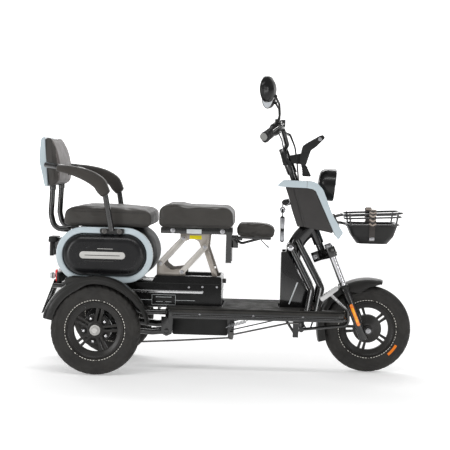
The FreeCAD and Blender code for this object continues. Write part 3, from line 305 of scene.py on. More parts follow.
def finish_object(name, bm, materials, body, smooth=35.0, place=None):
    """Turn a bmesh into a linked, smooth-shaded object that rides on a body."""
    bmesh.ops.recalc_face_normals(bm, faces=bm.faces)
    mesh = bpy.data.meshes.new(name)
    bm.to_mesh(mesh)
    bm.free()
    for material in materials:
        mesh.materials.append(material)
    piece = bpy.data.objects.new(name, mesh)
    bpy.context.scene.collection.objects.link(piece)
    if place is not None:
        piece.matrix_world = place
    soften_shading(piece, smooth)
    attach(piece, body)
    return piece


def soften_shading(piece, angle):
    for polygon in piece.data.polygons:
        polygon.use_smooth = True
    piece.data.set_sharp_from_angle(angle=math.radians(angle))


def apply_modifiers(piece):
    bpy.context.view_layer.update()
    result = bpy.data.meshes.new_from_object(piece.evaluated_get(bpy.context.evaluated_depsgraph_get()))
    piece.modifiers.clear()
    piece.data = result


def bevelled(bm, width, segments=2, angle=28.0):
    """Round every edge sharper than an angle."""
    bmesh.ops.remove_doubles(bm, verts=bm.verts, dist=2e-5)
    bmesh.ops.dissolve_limit(bm, angle_limit=math.radians(1.0), verts=bm.verts, edges=bm.edges)
    edges = [e for e in bm.edges if len(e.link_faces) == 2 and e.calc_face_angle(0) > math.radians(angle)]
    bmesh.ops.bevel(bm, geom=edges, offset=width, offset_type="OFFSET", segments=segments, profile=0.5,
                    affect="EDGES", clamp_overlap=True, harden_normals=False)


def eased(node, width, materials, choose=None, segments=2, shape=None):
    """A copy of a CAD node with rounded edges stands for it; choose(centre, normal) picks a material."""
    bm = bmesh.new()
    bm.from_mesh(NODES[node].data)
    bevelled(bm, width, segments)
    if shape is not None:
        for vert in bm.verts:
            vert.co = shape(vert.co)
    if choose is not None:
        bm.normal_update()
        for face in bm.faces:
            face.material_index = choose(face.calc_center_median(), face.normal)
    for face in bm.faces:
        if choose is None:
            face.material_index = 0
    piece = finish_object(node + "_shaped", bm, materials, BODY_OF[node], 30.0)
    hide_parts(node)
    return piece


def touch(node, origin, way):
    """Where a line first meets a CAD node."""
    mesh = NODES[node].data
    tree = BVHTree.FromPolygons([v.co for v in mesh.vertices], [list(p.vertices) for p in mesh.polygons])
    hit = tree.ray_cast(Vector(origin), Vector(way))[0]
    return hit if hit is not None else Vector(origin)


def spun(bm, profile, steps=96, first=0.0, last=360.0, capped=False, index=0):
    """Spin an outline of (radius, y) about Y; the outline is closed."""
    whole = abs(last - first) >= 360.0
    count = steps if whole else steps + 1
    rings = []
    for i in range(count):
        angle = math.radians(first + (last - first) * i / steps)
        c, s = math.cos(angle), math.sin(angle)
        rings.append([bm.verts.new((r * c, y, r * s)) for r, y in profile])
    size = len(profile)
    for i in range(steps):
        a, b = rings[i], rings[(i + 1) % count]
        for k in range(size):
            face = bm.faces.new((a[k], a[(k + 1) % size], b[(k + 1) % size], b[k]))
            face.material_index = index
    if capped and not whole:
        bm.faces.new(rings[0]).material_index = index
        bm.faces.new(list(reversed(rings[-1]))).material_index = index
    return rings


def rounded_outline(corners, steps=6):
    """Points of a closed outline with (a, b, radius) corners."""
    points = []
    count = len(corners)
    for i, corner in enumerate(corners):
        here = Vector(corner[:2])
        radius = corner[2] if len(corner) > 2 else 0.0
        back = (Vector(corners[i - 1][:2]) - here)
        ahead = (Vector(corners[(i + 1) % count][:2]) - here)
        if radius <= 0:
            points.append(here)
            continue
        turn = back.angle(ahead) / 2
        reach = min(radius / math.tan(turn), back.length * 0.49, ahead.length * 0.49)
        radius = reach * math.tan(turn)
        back.normalize()
        ahead.normalize()
        centre = here + (back + ahead).normalized() * (radius / math.sin(turn))
        start = here + back * reach - centre
        stop = here + ahead * reach - centre
        sweep = start.angle_signed(stop)
        for k in range(steps + 1):
            a = -sweep * k / steps
            points.append(centre + Vector((start.x * math.cos(a) - start.y * math.sin(a),
                                           start.x * math.sin(a) + start.y * math.cos(a))))
    return points


def rectangle(a0, a1, b0, b1, radius=None):
    """Corners of a rectangle, each with a radius if one is given."""
    corners = [(a0, b0), (a1, b0), (a1, b1), (a0, b1)]
    return corners if radius is None else [(a, b, radius) for a, b in corners]


def slab(bm, corners, low, high, plane="xz", index=0, steps=6, bevel=0.0015):
    """A plate: rounded outline in a plane, from low to high along the third axis, edges eased."""
    made = bmesh.new()
    points = rounded_outline(corners, steps)
    order = {
        "xz": lambda a, b, c: (a, c, b),
        "xy": lambda a, b, c: (a, b, c),
        "yz": lambda a, b, c: (c, a, b),
    }[plane]
    under = [made.verts.new(order(p.x, p.y, low)) for p in points]
    over = [made.verts.new(order(p.x, p.y, high)) for p in points]
    made.faces.new(under)
    made.faces.new(list(reversed(over)))
    for i in range(len(points)):
        j = (i + 1) % len(points)
        made.faces.new((under[i], over[i], over[j], under[j]))
    bmesh.ops.recalc_face_normals(made, faces=made.faces)
    if bevel > 0:
        edges = [e for e in made.edges if e.calc_face_angle(0) > math.radians(40)]
        bmesh.ops.bevel(made, geom=edges, offset=bevel, segments=2, profile=0.5, affect="EDGES",
                        clamp_overlap=True)
    for face in made.faces:
        face.material_index = index
    join(bm, made)


def join(bm, other, matrix=None):
    """Move one bmesh into another."""
    if matrix is not None:
        bmesh.ops.transform(other, matrix=matrix, verts=other.verts)
    mesh = bpy.data.meshes.new("scratch")
    other.to_mesh(mesh)
    other.free()
    bm.from_mesh(mesh)
    bpy.data.meshes.remove(mesh)


def bolt(bm, centre, axis, radius, height, index=0, sides=6, washer=True):
    """Flanged hex or domed bolt head standing on a surface."""
    made = bmesh.new()
    if washer:
        profile = [(0.0, 0), (radius * 1.35, 0), (radius * 1.35, height * 0.25),
                   (radius * 1.2, height * 0.35),
                   (0.0, height * 0.35)]
        spun(made, [(max(r, 1e-5), y) for r, y in profile], 20, index=index)
    head = [(1e-5, 0), (radius, 0), (radius, height * 0.8), (radius * 0.82, height), (radius * 0.5, height),
            (radius * 0.45, height * 0.55), (1e-5, height * 0.55)]
    spun(made, head, sides, index=index)
    rotation = Vector((0, 1, 0)).rotation_difference(Vector(axis)).to_matrix().to_4x4()
    join(bm, made, Matrix.Translation(Vector(centre)) @ rotation)


def sweep(bm, points, section, index=0, closed=False, up=Vector((0, 0, 1)), capped=True):
    """Carry a section, a list of (across, above), along a line of points."""
    rings = []
    count = len(points)
    for i, point in enumerate(points):
        ahead = points[(i + 1) % count] if closed or i < count - 1 else point
        back = points[i - 1] if closed or i > 0 else point
        along = (Vector(ahead) - Vector(back)).normalized()
        across = along.cross(up).normalized()
        above = across.cross(along).normalized()
        shape = section(i / max(count - 1, 1)) if callable(section) else section
        rings.append([bm.verts.new(Vector(point) + across * a + above * b) for a, b in shape])
    size = len(rings[0])
    for i in range(count if closed else count - 1):
        a, b = rings[i], rings[(i + 1) % count]
        for k in range(size):
            bm.faces.new((a[k], a[(k + 1) % size], b[(k + 1) % size], b[k])).material_index = index
    if capped and not closed:
        bm.faces.new(rings[0]).material_index = index
        bm.faces.new(list(reversed(rings[-1]))).material_index = index


def circle(radius, sides=12, squash=1.0):
    return [(radius * math.cos(2 * math.pi * k / sides), radius * squash * math.sin(2 * math.pi * k / sides))
            for k in range(sides)]


def smooth_line(points, per_run=8):
    """Catmull-Rom line through points."""
    pts = [Vector(p) for p in points]
    pts = [pts[0] * 2 - pts[1]] + pts + [pts[-1] * 2 - pts[-2]]
    line = []
    for i in range(1, len(pts) - 2):
        a, b, c, d = pts[i - 1:i + 3]
        for k in range(per_run):
            t = k / per_run
            line.append(0.5 * ((2 * b) + (c - a) * t + (2 * a - 5 * b + 4 * c - d) * t * t
                               + (3 * b - a - 3 * c + d) * t ** 3))
    line.append(pts[-2])
    return line


# ---------------------------------------------------------------- wheels


def build_tyre(node, centre):
    """Casing with rounded sidewalls, a raised rim guard and a blocky tread."""
    bm = bmesh.new()
    half = [(0.1280, 0.0230), (0.1290, 0.0275), (0.1315, 0.0300), (0.1355, 0.0312), (0.1375, 0.0330),
            (0.1420, 0.0345), (0.1500, 0.0362), (0.1600, 0.0376), (0.1690, 0.0380), (0.1705, 0.0388),
            (0.1740, 0.0388), (0.1755, 0.0376), (0.1820, 0.0362), (0.1880, 0.0335), (0.1915, 0.0305),
            (0.1940, 0.0270), (0.1960, 0.0235), (0.1975, 0.0195), (0.1987, 0.0150), (0.1995, 0.0100),
            (0.1999, 0.0050), (0.2000, 0.0012)]
    outside = half + [(r, -y) for r, y in reversed(half)]
    inside = [(0.1280, -0.0200), (0.1600, -0.0300), (0.1850, 0.0), (0.1600, 0.0300), (0.1280, 0.0200)]
    steps = 288
    rings = spun(bm, outside + inside, steps)
    for i, ring in enumerate(rings):
        for vert in ring:
            radius = math.hypot(vert.co.x, vert.co.z)
            y = abs(vert.co.y)
            if radius < 0.1872 or y > 0.034:
                continue
            lean = int(round(y * 160))
            slot = (i + (lean if vert.co.y > 0 else lean + 4)) % 8 in (0, 1)
            groove = (slot and y > 0.0045) or (0.0130 < y < 0.0172)
            if groove:
                shrink = (radius - 0.0036) / radius
                vert.co.x *= shrink
                vert.co.z *= shrink
    piece = finish_object(node + "_tread", bm, [TYRE], BODY_OF[node], 28.0, Matrix.Translation(centre))
    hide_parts(node)


def spoke(bm, start, end, width, depth):
    """One tapering spoke with eased edges, in the wheel's XZ plane."""
    way = (end - start).normalized()
    flank = Vector((-way.z, 0, way.x))
    made = bmesh.new()
    rows = []
    for t in (0.0, 0.15, 0.5, 0.85, 1.0):
        w = width * (1.25 - 0.5 * math.sin(t * math.pi) * 0.6) / 2
        d = depth * (1.1 - 0.25 * t) / 2
        at = start.lerp(end, t)
        section = [(-w, -d), (-w * 0.55, -d * 1.25), (w * 0.55, -d * 1.25), (w, -d), (w, d),
                   (w * 0.55, d * 1.25),
                   (-w * 0.55, d * 1.25), (-w, d)]
        rows.append([made.verts.new(at + flank * a + SIDE * b) for a, b in section])
    for a, b in zip(rows, rows[1:]):
        for k in range(8):
            made.faces.new((a[k], a[(k + 1) % 8], b[(k + 1) % 8], b[k]))
    made.faces.new(rows[0])
    made.faces.new(list(reversed(rows[-1])))
    join(bm, made)


def build_rim(node, centre, phase, outer_side, front):
    """Cast rim: rolled lips, stepped barrel, five pairs of spokes, hub; nuts and cap on the rear wheels."""
    bm = bmesh.new()
    edge = [(0.1280, -0.0270), (0.1262, -0.0290), (0.1235, -0.0285), (0.1225, -0.0262), (0.1215, -0.0205),
            (0.1165, -0.0190), (0.1135, -0.0165), (0.1080, -0.0160), (0.1040, -0.0130), (0.0985, -0.0125),
            (0.0972, -0.0100)]
    outline = edge + [(r, -y) for r, y in reversed(edge)] + [(0.1180, 0.0210), (0.1180, -0.0210)]
    spun(bm, outline, 120)
    reach = 0.0395 if front else 0.028
    for k in range(5):
        turn = math.radians(phase + 72 * k)
        for lean in (-1, 1):
            inner = turn + lean * (0.23 if front else 0.30)
            outer = turn + lean * 0.115
            start = Vector((reach * math.cos(inner), 0, reach * math.sin(inner)))
            end = Vector((0.101 * math.cos(outer), 0, 0.101 * math.sin(outer)))
            spoke(bm, start, end, 0.0115, 0.0175)
    if front:
        hub = [(0.0085, -0.026), (0.020, -0.026), (0.023, -0.0235), (0.030, -0.0225), (0.034, -0.0205),
               (0.0610, -0.0150), (0.0655, -0.0125), (0.0660, 0.0125), (0.0610, 0.0150), (0.034, 0.0205),
               (0.023, 0.0235), (0.020, 0.026), (0.0085, 0.026)]
        spun(bm, hub, 72)
        for k in range(30):
            a = math.radians(12 * k)
            inner, outer = Vector((0.036 * math.cos(a), 0, 0.036 * math.sin(a))), Vector(
                (0.057 * math.cos(a), 0, 0.057 * math.sin(a)))
            for s in (-1, 1):
                sweep(bm, [inner + SIDE * s * 0.0200, outer + SIDE * s * 0.0152], circle(0.0011, 6))
    else:
        hub = [(0.0085, -0.024), (0.0285, -0.024), (0.0310, -0.022), (0.0325, -0.0145), (0.0380, -0.0120),
               (0.0385, 0.0120), (0.0325, 0.0145), (0.0310, 0.022), (0.0285, 0.024), (0.0085, 0.024)]
        spun(bm, hub, 64)
        web = [(0.030, -outer_side * 0.0075), (0.0660, -outer_side * 0.0070), (0.0660, -outer_side * 0.0030),
               (0.030, -outer_side * 0.0025)]
        for k in range(5):
            middle = phase + 36 + 72 * k
            spun(bm, web, 8, middle - 24, middle + 24, capped=True)
            a = math.radians(middle)
            spot = Vector((0.0530 * math.cos(a), -outer_side * 0.003, 0.0530 * math.sin(a)))
            made = bmesh.new()
            spun(made, [(0.0001, 0.0), (0.0125, 0.0), (0.0125, 0.0030), (0.0105, 0.0045), (0.0001, 0.0045)],
                 24)
            spun(made, [(0.0001, 0.0045), (0.0082, 0.0045), (0.0082, 0.0090), (0.0070, 0.0120),
                        (0.0045, 0.0142),
                        (0.0001, 0.0150)], 12, index=1)
            spin = Matrix.Identity(4) if outer_side > 0 else Matrix.Rotation(math.pi, 4, "Z")
            join(bm, made, Matrix.Translation(spot) @ spin)
        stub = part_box("rear_axle")[1].y - 0.310 + 0.0012
        cap = [(0.0001, 0.0240), (0.0228, 0.0240), (0.0236, 0.0262), (0.0226, 0.0285), (0.0190, 0.0300),
               (0.0120, max(0.0308, stub)), (0.0001, max(0.0312, stub + 0.0004))]
        spun(bm, [(r, y * outer_side) for r, y in cap], 40, index=2)
    stem = math.radians(phase + 36)
    foot = Vector((0.118 * math.cos(stem), outer_side * 0.016, 0.118 * math.sin(stem)))
    sweep(bm, [foot, foot + Vector((-0.012 * math.cos(stem), outer_side * 0.008, -0.012 * math.sin(stem)))],
          circle(0.0026, 10), index=1)
    piece = finish_object(node + "_cast", bm, [RIM, CHROME, BADGE], BODY_OF[node], 35.0,
                          Matrix.Translation(centre))
    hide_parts(node)


def tyre_sticker():
    """Plain orange patch lying on the front tyre's sidewall."""
    bm = bmesh.new()
    grid = []
    for radius, y in ((0.1445, -0.0362), (0.1500, -0.0371), (0.1560, -0.0380)):
        row = []
        for k in range(13):
            a = math.radians(-38.6 - 11 + 22 * k / 12)
            row.append(bm.verts.new((radius * math.cos(a), y, radius * math.sin(a))))
        grid.append(row)
    for a, b in zip(grid, grid[1:]):
        for k in range(12):
            bm.faces.new((a[k], a[k + 1], b[k + 1], b[k]))
    piece = finish_object("tyre_sticker", bm, [ORANGE], "front_wheel", 40.0, Matrix.Translation(FRONT_AXLE))
    return piece


def build_wheels():
    build_tyre("front_tyre", FRONT_AXLE)
    build_rim("front_rim", FRONT_AXLE, 110, -1, True)
    tyre_sticker()
    for side, name in ((-1, "right"), (1, "left")):
        centre = REAR_AXLE + SIDE * side * 0.310
        build_tyre("rear_%s_tyre" % name, centre)
        build_rim("rear_%s_rim" % name, centre, 78, side, False)


# ---------------------------------------------------------------- mudguards


def guard(bm, outer, half, first, last, skirt, wall=0.003, lip=0.006, steps=84):
    """Arched guard: crowned top, rounded shoulders, skirts of changing depth with a rolled lip."""
    rings, edges = [], {-1: [], 1: []}
    for i in range(steps + 1):
        angle = math.radians(first + (last - first) * i / steps)
        tuck = skirt(math.degrees(angle))
        crown = [(outer - 0.006 * abs(t) ** 3.0, t * (half - 0.006)) for t in [-1 + k / 4 for k in range(9)]]
        side = [(outer - tuck, half - 0.001), (outer - tuck * 0.85, half),
                (outer - min(0.014, tuck * 0.6), half - 0.001)]
        top = [(r, -y) for r, y in side] + crown + list(reversed(side))
        under = [(r - wall if abs(y) < half - 0.004 else r + 0.0005, y * (1 - wall / half))
                 for r, y in reversed(top)]
        c, s = math.cos(angle), math.sin(angle)
        rings.append([bm.verts.new((r * c, y, r * s)) for r, y in top + under])
        for sign in (-1, 1):
            edges[sign].append(Vector(((outer - tuck) * c, sign * (half - 0.002), (outer - tuck) * s)))
    size = len(rings[0])
    for a, b in zip(rings, rings[1:]):
        for k in range(size):
            bm.faces.new((a[k], a[(k + 1) % size], b[(k + 1) % size], b[k]))
    bm.faces.new(rings[0])
    bm.faces.new(list(reversed(rings[-1])))
    for points in edges.values():
        sweep(bm, points, circle(lip / 2, 8), up=SIDE)


def ease(value, start, stop):
    """Smooth step from 0 at start to 1 at stop."""
    t = min(max((value - start) / (stop - start), 0.0), 1.0)
    return t * t * (3 - 2 * t)


def build_guards():
    bm = bmesh.new()
    guard(bm, 0.2360, 0.0495, 74, 196, lambda a: 0.016 + 0.014 * ease(a, 74, 84) + 0.030 * math.exp(
        -((a - 104) / 13) ** 2) + 0.008 * ease(a, 165, 190))
    guard_piece = finish_object("front_mudguard_shaped", bm, [FENDER], "fork", 35.0,
                                Matrix.Translation(FRONT_AXLE))
    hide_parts("front_mudguard")
    bm = bmesh.new()
    for side in (-1, 1):
        made = bmesh.new()
        guard(made, 0.2395, 0.0445, 8, 168, lambda a: 0.010 + 0.021 * ease(a, 8, 60)
              + 0.013 * ease(a, 96, 118))
        outer = []
        for k in range(61):
            a = math.radians(10 + 156 * k / 60)
            width = 0.014 * math.sin(math.pi * min(1.0, (k + 3) / 66)) + 0.004
            outer.append((a, width))
        flare = bmesh.new()
        rows = []
        for a, width in outer:
            r = 0.2385
            points = [(r, 0.036), (r - 0.003, 0.0425), (r - 0.010, 0.0447), (r - width, 0.0452),
                      (r - width - 0.002, 0.0440), (r - width, 0.0415)]
            rows.append([flare.verts.new((q * math.cos(a), side * y, q * math.sin(a))) for q, y in points])
        for a, b in zip(rows, rows[1:]):
            for k in range(5):
                flare.faces.new((a[k], a[k + 1], b[k + 1], b[k]))
        join(made, flare)
        join(bm, made, Matrix.Translation(REAR_AXLE + SIDE * side * 0.307))
        shoulder = [(-0.700, 0.398, 0.004), (-0.703, 0.428, 0.010), (-0.672, 0.434, 0.02),
                    (-0.625, 0.432, 0.03),
                    (-0.556, 0.438, 0.004), (-0.640, 0.424, 0.03)]
        low, high = sorted((side * 0.268, side * 0.348))
        slab(bm, shoulder, low, high, "xz", 0, 5, 0.003)
    piece = finish_object("rear_fenders_shaped", bm, [FENDER], "chassis", 35.0)
    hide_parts("rear_fenders")


# ---------------------------------------------------------------- cushions


def cushion(node, materials, shrink=0.005, cap=0.008, voxel=0.006, rounds=14, pressure=4.0, choose=None,
            shape=None):
    """A CAD cushion rounded, blown up with a short cloth run, and subdivided; its underside stays flat."""
    source = NODES[node].data.copy()
    piece = bpy.data.objects.new(node + "_cushion", source)
    bpy.context.scene.collection.objects.link(piece)
    low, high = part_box(node)
    middle = (low + high) / 2
    size = high - low
    for vert in source.vertices:
        for axis in range(3):
            scale = 1 - 2 * shrink / size[axis]
            vert.co[axis] = middle[axis] + (vert.co[axis] - middle[axis]) * scale
    remesh = piece.modifiers.new("remesh", "REMESH")
    remesh.mode = "VOXEL"
    remesh.voxel_size = voxel
    smooth = piece.modifiers.new("smooth", "SMOOTH")
    smooth.factor = 0.5
    smooth.iterations = rounds
    apply_modifiers(piece)
    start = [v.co.copy() for v in piece.data.vertices]
    cloth = piece.modifiers.new("cloth", "CLOTH")
    cloth.settings.use_pressure = True
    cloth.settings.uniform_pressure_force = pressure
    cloth.settings.effector_weights.gravity = 0
    cloth.settings.tension_stiffness = 15
    cloth.settings.compression_stiffness = 15
    cloth.settings.bending_stiffness = 0.5
    cloth.point_cache.frame_start = 1
    cloth.point_cache.frame_end = 20
    for number in range(1, 21):
        bpy.context.scene.frame_set(number)
    apply_modifiers(piece)
    bpy.context.scene.frame_set(1)
    for vert, before in zip(piece.data.vertices, start):
        move = vert.co - before
        if move.length > cap:
            vert.co = before + move.normalized() * cap
        for axis in range(3):
            vert.co[axis] = min(max(vert.co[axis], low[axis]), high[axis])
        if shape is not None:
            vert.co = shape(vert.co)
    subdivide = piece.modifiers.new("subdivide", "SUBSURF")
    subdivide.levels = 1
    subdivide.render_levels = 1
    apply_modifiers(piece)
    piece.data.materials.clear()
    for material in materials:
        piece.data.materials.append(material)
    if choose is not None:
        for polygon in piece.data.polygons:
            polygon.material_index = choose(polygon.center, polygon.normal)
    soften_shading(piece, 180.0)
    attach(piece, BODY_OF[node])
    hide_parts(node)
    return piece


def loop_on(piece, name, centre, normal, first, radius=0.0022, material=None, count=160, lift=0.0):
    """Piping where a plane through a point cuts a cushion's skin."""
    mesh = piece.data
    tree = BVHTree.FromPolygons([v.co for v in mesh.vertices], [list(p.vertices) for p in mesh.polygons])
    normal = Vector(normal).normalized()
    second = normal.cross(Vector(first)).normalized()
    first = second.cross(normal).normalized()
    points = []
    for k in range(count):
        a = 2 * math.pi * k / count
        way = first * math.cos(a) + second * math.sin(a)
        hit, face_normal, _index, _distance = tree.ray_cast(Vector(centre) + way * 0.6, -way)
        if hit is not None:
            points.append(hit + face_normal * lift)
    for _turn in range(3):
        points = [(points[i - 1] + points[i] * 2 + points[(i + 1) % len(points)]) / 4
                  for i in range(len(points))]
    bm = bmesh.new()
    sweep(bm, points, circle(radius, 10), closed=True, up=normal)
    return finish_object(name, bm, [material or STITCH], piece["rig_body"], 60.0)


# Upward faces take the darker seat leather, the rest the lighter side leather: a shaded and a lit copy of one
# leather, painted shade on the seat tops.
def shaded_top_choice(top):
    return lambda centre, normal: 0 if normal.z > 0.55 and centre.z > top else 1


def parting(z):
    """How far back the seam between the backrest's shell and pad lies at a height."""
    return 0.020 * ease(z, 0.826, 0.960)


def lean_pad(v):
    """The backrest pad's front falls away and narrows towards the top and rolls under at the bottom."""
    low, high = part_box("backrest_pad")
    depth = (v.x - low.x) / (high.x - low.x)
    t = max(0.0, (v.z - 0.925) / 0.126)
    b = max(0.0, (0.862 - v.z) / 0.036)
    x = v.x - parting(v.z) * (1 - depth) - (0.030 * t ** 1.2 + 0.014 * b * b) * depth
    return Vector((x, v.y * (1 - 0.11 * t ** 1.5), v.z))


def lean_shell(v):
    """The backrest shell gives way to the pad towards the top."""
    low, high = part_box("backrest_shell")
    depth = (v.x - low.x) / (high.x - low.x)
    t = max(0.0, (v.z - 0.925) / 0.126)
    return Vector((v.x - parting(v.z) * depth, v.y * (1 - 0.10 * t ** 1.5), v.z))


def build_back_sockets():
    """Turned collars that carry the two back tubes up into the padded back."""
    bm = bmesh.new()
    for side in (-1, 1):
        made = bmesh.new()
        spun(made, [(0.0120, -0.014), (0.0150, -0.012), (0.0156, 0.0), (0.0150, 0.026), (0.0120, 0.028)],
             36, index=0)
        join(bm, made, Matrix.Translation((-0.800, side * 0.120, 0.824))
             @ Matrix.Rotation(math.radians(90), 4, "X"))
    finish_object("back_tube_sockets", bm, [SATIN], "chassis", 40.0)


def build_armrests():
    """Armrest pads: crowned, swelling bolsters along the tubes, with rounded noses and two seams."""
    spine = [(-0.752, 0.9095, 0.0150), (-0.712, 0.9045, 0.0190), (-0.665, 0.8930, 0.0235),
             (-0.614, 0.8745, 0.0280),
             (-0.573, 0.8490, 0.0300), (-0.5555, 0.8230, 0.0285), (-0.5430, 0.8050, 0.0240)]
    line = smooth_line([(x, 0.265, z) for x, z, tall in spine], 8)
    tall = smooth_line([(t, 0, 0) for x, z, t in spine], 8)
    count = len(line)
    for side, name in ((-1, "right"), (1, "left")):
        bm = bmesh.new()
        points = [Vector((p.x, side * p.y, p.z)) for p in line]
        lead, tail = points[0] - points[1], points[-1] - points[-2]
        ends = (0.0, 0.25, 0.5, 0.72, 0.88, 0.97)
        whole = ([points[0] + lead.normalized() * 0.008 * (1 - e) for e in ends] + points
                 + [points[-1] + tail.normalized() * 0.014 * (1 - e) for e in reversed(ends)])
        swell = ([math.sqrt(1 - (1 - e) ** 2) if e else 0.05 for e in ends] + [1.0] * count
                 + [math.sqrt(1 - (1 - e) ** 2) if e else 0.05 for e in reversed(ends)])
        height = [tall[0].x] * len(ends) + [t.x for t in tall] + [tall[-1].x] * len(ends)

        def section(t, swell=swell, height=height):
            i = round(t * (len(swell) - 1))
            shape = []
            for k in range(36):
                a = 2 * math.pi * k / 36
                c, s = math.cos(a), math.sin(a)
                across = 0.0268 * math.copysign(abs(c) ** 0.62, c)
                above = height[i] * math.copysign(abs(s) ** 0.72, s) * (1.08 if s > 0 else 0.92)
                shape.append((across * swell[i], above * swell[i]))
            return shape

        sweep(bm, whole, section, up=Vector((0, 0, 1)))
        pad = finish_object("armrest_pad_" + name, bm, [LEATHER], "chassis", 180.0)
        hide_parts("armrest_pads")
        seams = bmesh.new()
        for lean in (-1, 1):
            seam = []
            for i, point in enumerate(points):
                along = (points[min(i + 1, count - 1)] - points[max(i - 1, 0)]).normalized()
                across = along.cross(Vector((0, 0, 1))).normalized()
                above = across.cross(along).normalized()
                seam.append(point + across * lean * 0.0238 + above * tall[i].x * 0.70)
            sweep(seams, seam, circle(0.0014, 8))
        finish_object("armrest_seam_" + name, seams, [STITCH], "chassis", 50.0)


def build_cushions():
    low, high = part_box("rear_seat")
    # Seat tops get the darker leather as painted shade, the sides the lighter copy.
    rear = cushion("rear_seat", [LEATHER, SIDE_LEATHER], choose=shaded_top_choice(low.z + 0.05))
    middle = (low + high) / 2
    loop_on(rear, "rear_seat_low_piping", (middle.x, 0, low.z + 0.015), (0, 0, 1), (1, 0, 0), 0.0026)
    loop_on(rear, "rear_seat_top_seam", (middle.x, 0, high.z - 0.026), (0.01, 0, 1), (1, 0, 0), 0.0016)

    low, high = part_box("rider_seat")
    rider = cushion("rider_seat", [LEATHER, SIDE_LEATHER], choose=shaded_top_choice(low.z + 0.06))
    middle = (low + high) / 2
    loop_on(rider, "rider_seat_low_piping", (middle.x, 0, low.z + 0.014), (0, 0, 1), (1, 0, 0), 0.0026)

    low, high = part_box("child_seat")
    small = cushion("child_seat", [LEATHER, SIDE_LEATHER], 0.002, 0.005, 0.0045, 8,
                    choose=shaded_top_choice(low.z + 0.03),
                    shape=lambda v: Vector((v.x - 0.011 * (high.x - v.x) / (high.x - low.x), v.y, v.z)))
    middle = (low + high) / 2
    loop_on(small, "small_seat_piping", (middle.x, 0, low.z + 0.018), (0.04, 0, 1), (1, 0, 0), 0.0022)

    low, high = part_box("backrest_pad")
    pad = cushion("backrest_pad", [TAUPE, SIDE_LEATHER], 0.0015, 0.006, 0.005, 10,
                  choose=lambda c, n: 0 if n.x > 0.55 else 1, shape=lean_pad)
    middle = (low + high) / 2
    loop_on(pad, "backrest_seam", (low.x + 0.020, 0, middle.z), (1, 0, 0.13), (0, 1, 0), 0.0016)

    build_armrests()
    build_back_sockets()
    bm = bmesh.new()
    for side in (-1, 1):
        for k in range(9):
            x = -0.706 + 0.011 * k
            slab(bm, rectangle(side * 0.265 - 0.017, side * 0.265 + 0.017, 0.890 - 0.0012 * k,
                               0.881 - 0.0012 * k, 0.002),
                 x, x + 0.005, "yz", 0, 3, 0.001)
    finish_object("armrest_seams", bm, [STITCH], "chassis", 50.0)


# ---------------------------------------------------------------- hard parts


def build_bodywork():
    def tray(centre, normal):
        if abs(centre.y) > 0.100 and centre.z < 0.6255 and -0.22 < centre.x < -0.078 and abs(centre.y) < 0.12:
            return 1
        return 0

    eased("seat_carrier", 0.0015, [SATIN, BEIGE], tray)
    eased("battery_box", 0.005, [SHINY], segments=3)
    eased("front_shroud", 0.007, [BLUE], segments=4, shape=lambda v: Vector((
        v.x - 0.016 * ease(-v.x, -0.290, -0.255) * ease(v.z, 0.80, 0.83), v.y, v.z)))
    eased("shroud_panels", 0.003, [PANEL], segments=3)
    eased("leg_shield", 0.006, [BLACK], segments=3)
    eased("deck_tray", 0.004, [BLACK], segments=3)
    eased("floor_mat", 0.003, [MAT], segments=2)
    eased("lower_box", 0.004, [PLASTIC])
    eased("lift_base", 0.0008, [BEIGE])
    # The links take the lit copy of the beige paint: painted light.
    eased("lift_links_rear", 0.0008, [BEIGE_LIT])
    eased("lift_links_front", 0.0008, [BEIGE_LIT])
    eased("seat_prop", 0.0008, [BEIGE])
    eased("child_seat_frame", 0.0012, [SATIN])
    eased("display", 0.004, [PLASTIC], segments=3)
    eased("steering_stem", 0.0025, [SATIN])
    eased("switch_pods", 0.005, [PLASTIC], segments=3)
    eased("backrest_shell", 0.012, [BLUE], segments=5, shape=lean_shell)
    eased("end_rings", 0.006, [BLUE], segments=4)
    eased("brake_pedal", 0.002, [PEDAL, SATIN], lambda c, n: 0 if c.z > 0.335 and c.x < 0.52 else 1)
    eased("tail_brackets", 0.002, [SATIN])
    eased("rear_axle", 0.003, [SATIN])
    eased("basket_tub", 0.0008, [PLASTIC], segments=1)
    eased("fork_legs", 0.002, [BLACK])
    eased("luggage_barrel", 0.0015, [TUB])
    for node, material in (
            ("main_frame", BLACK), ("headset_bearings", STEEL), ("rear_frame", BLACK),
            ("battery_pack", PLASTIC),
            ("motor_controller", STEEL), ("locks", DARK_STEEL), ("basket_frame", BLACK),
            ("end_covers", BARREL),
            ("backrest_tubes", BLACK), ("armrest_frames", BLACK), ("handlebar", SATIN),
            ("stanchions", CHROME),
            ("left_grip", GRIP), ("throttle_grip", GRIP), ("control_cables", CABLE),
            ("right_brake_lever", SATIN),
            ("left_brake_lever", SATIN), ("right_mirror", SHINY), ("left_mirror", SHINY),
            ("brake_rods", DARK_STEEL),
            ("key_and_fob", SHINY)):
        paint(node, material)


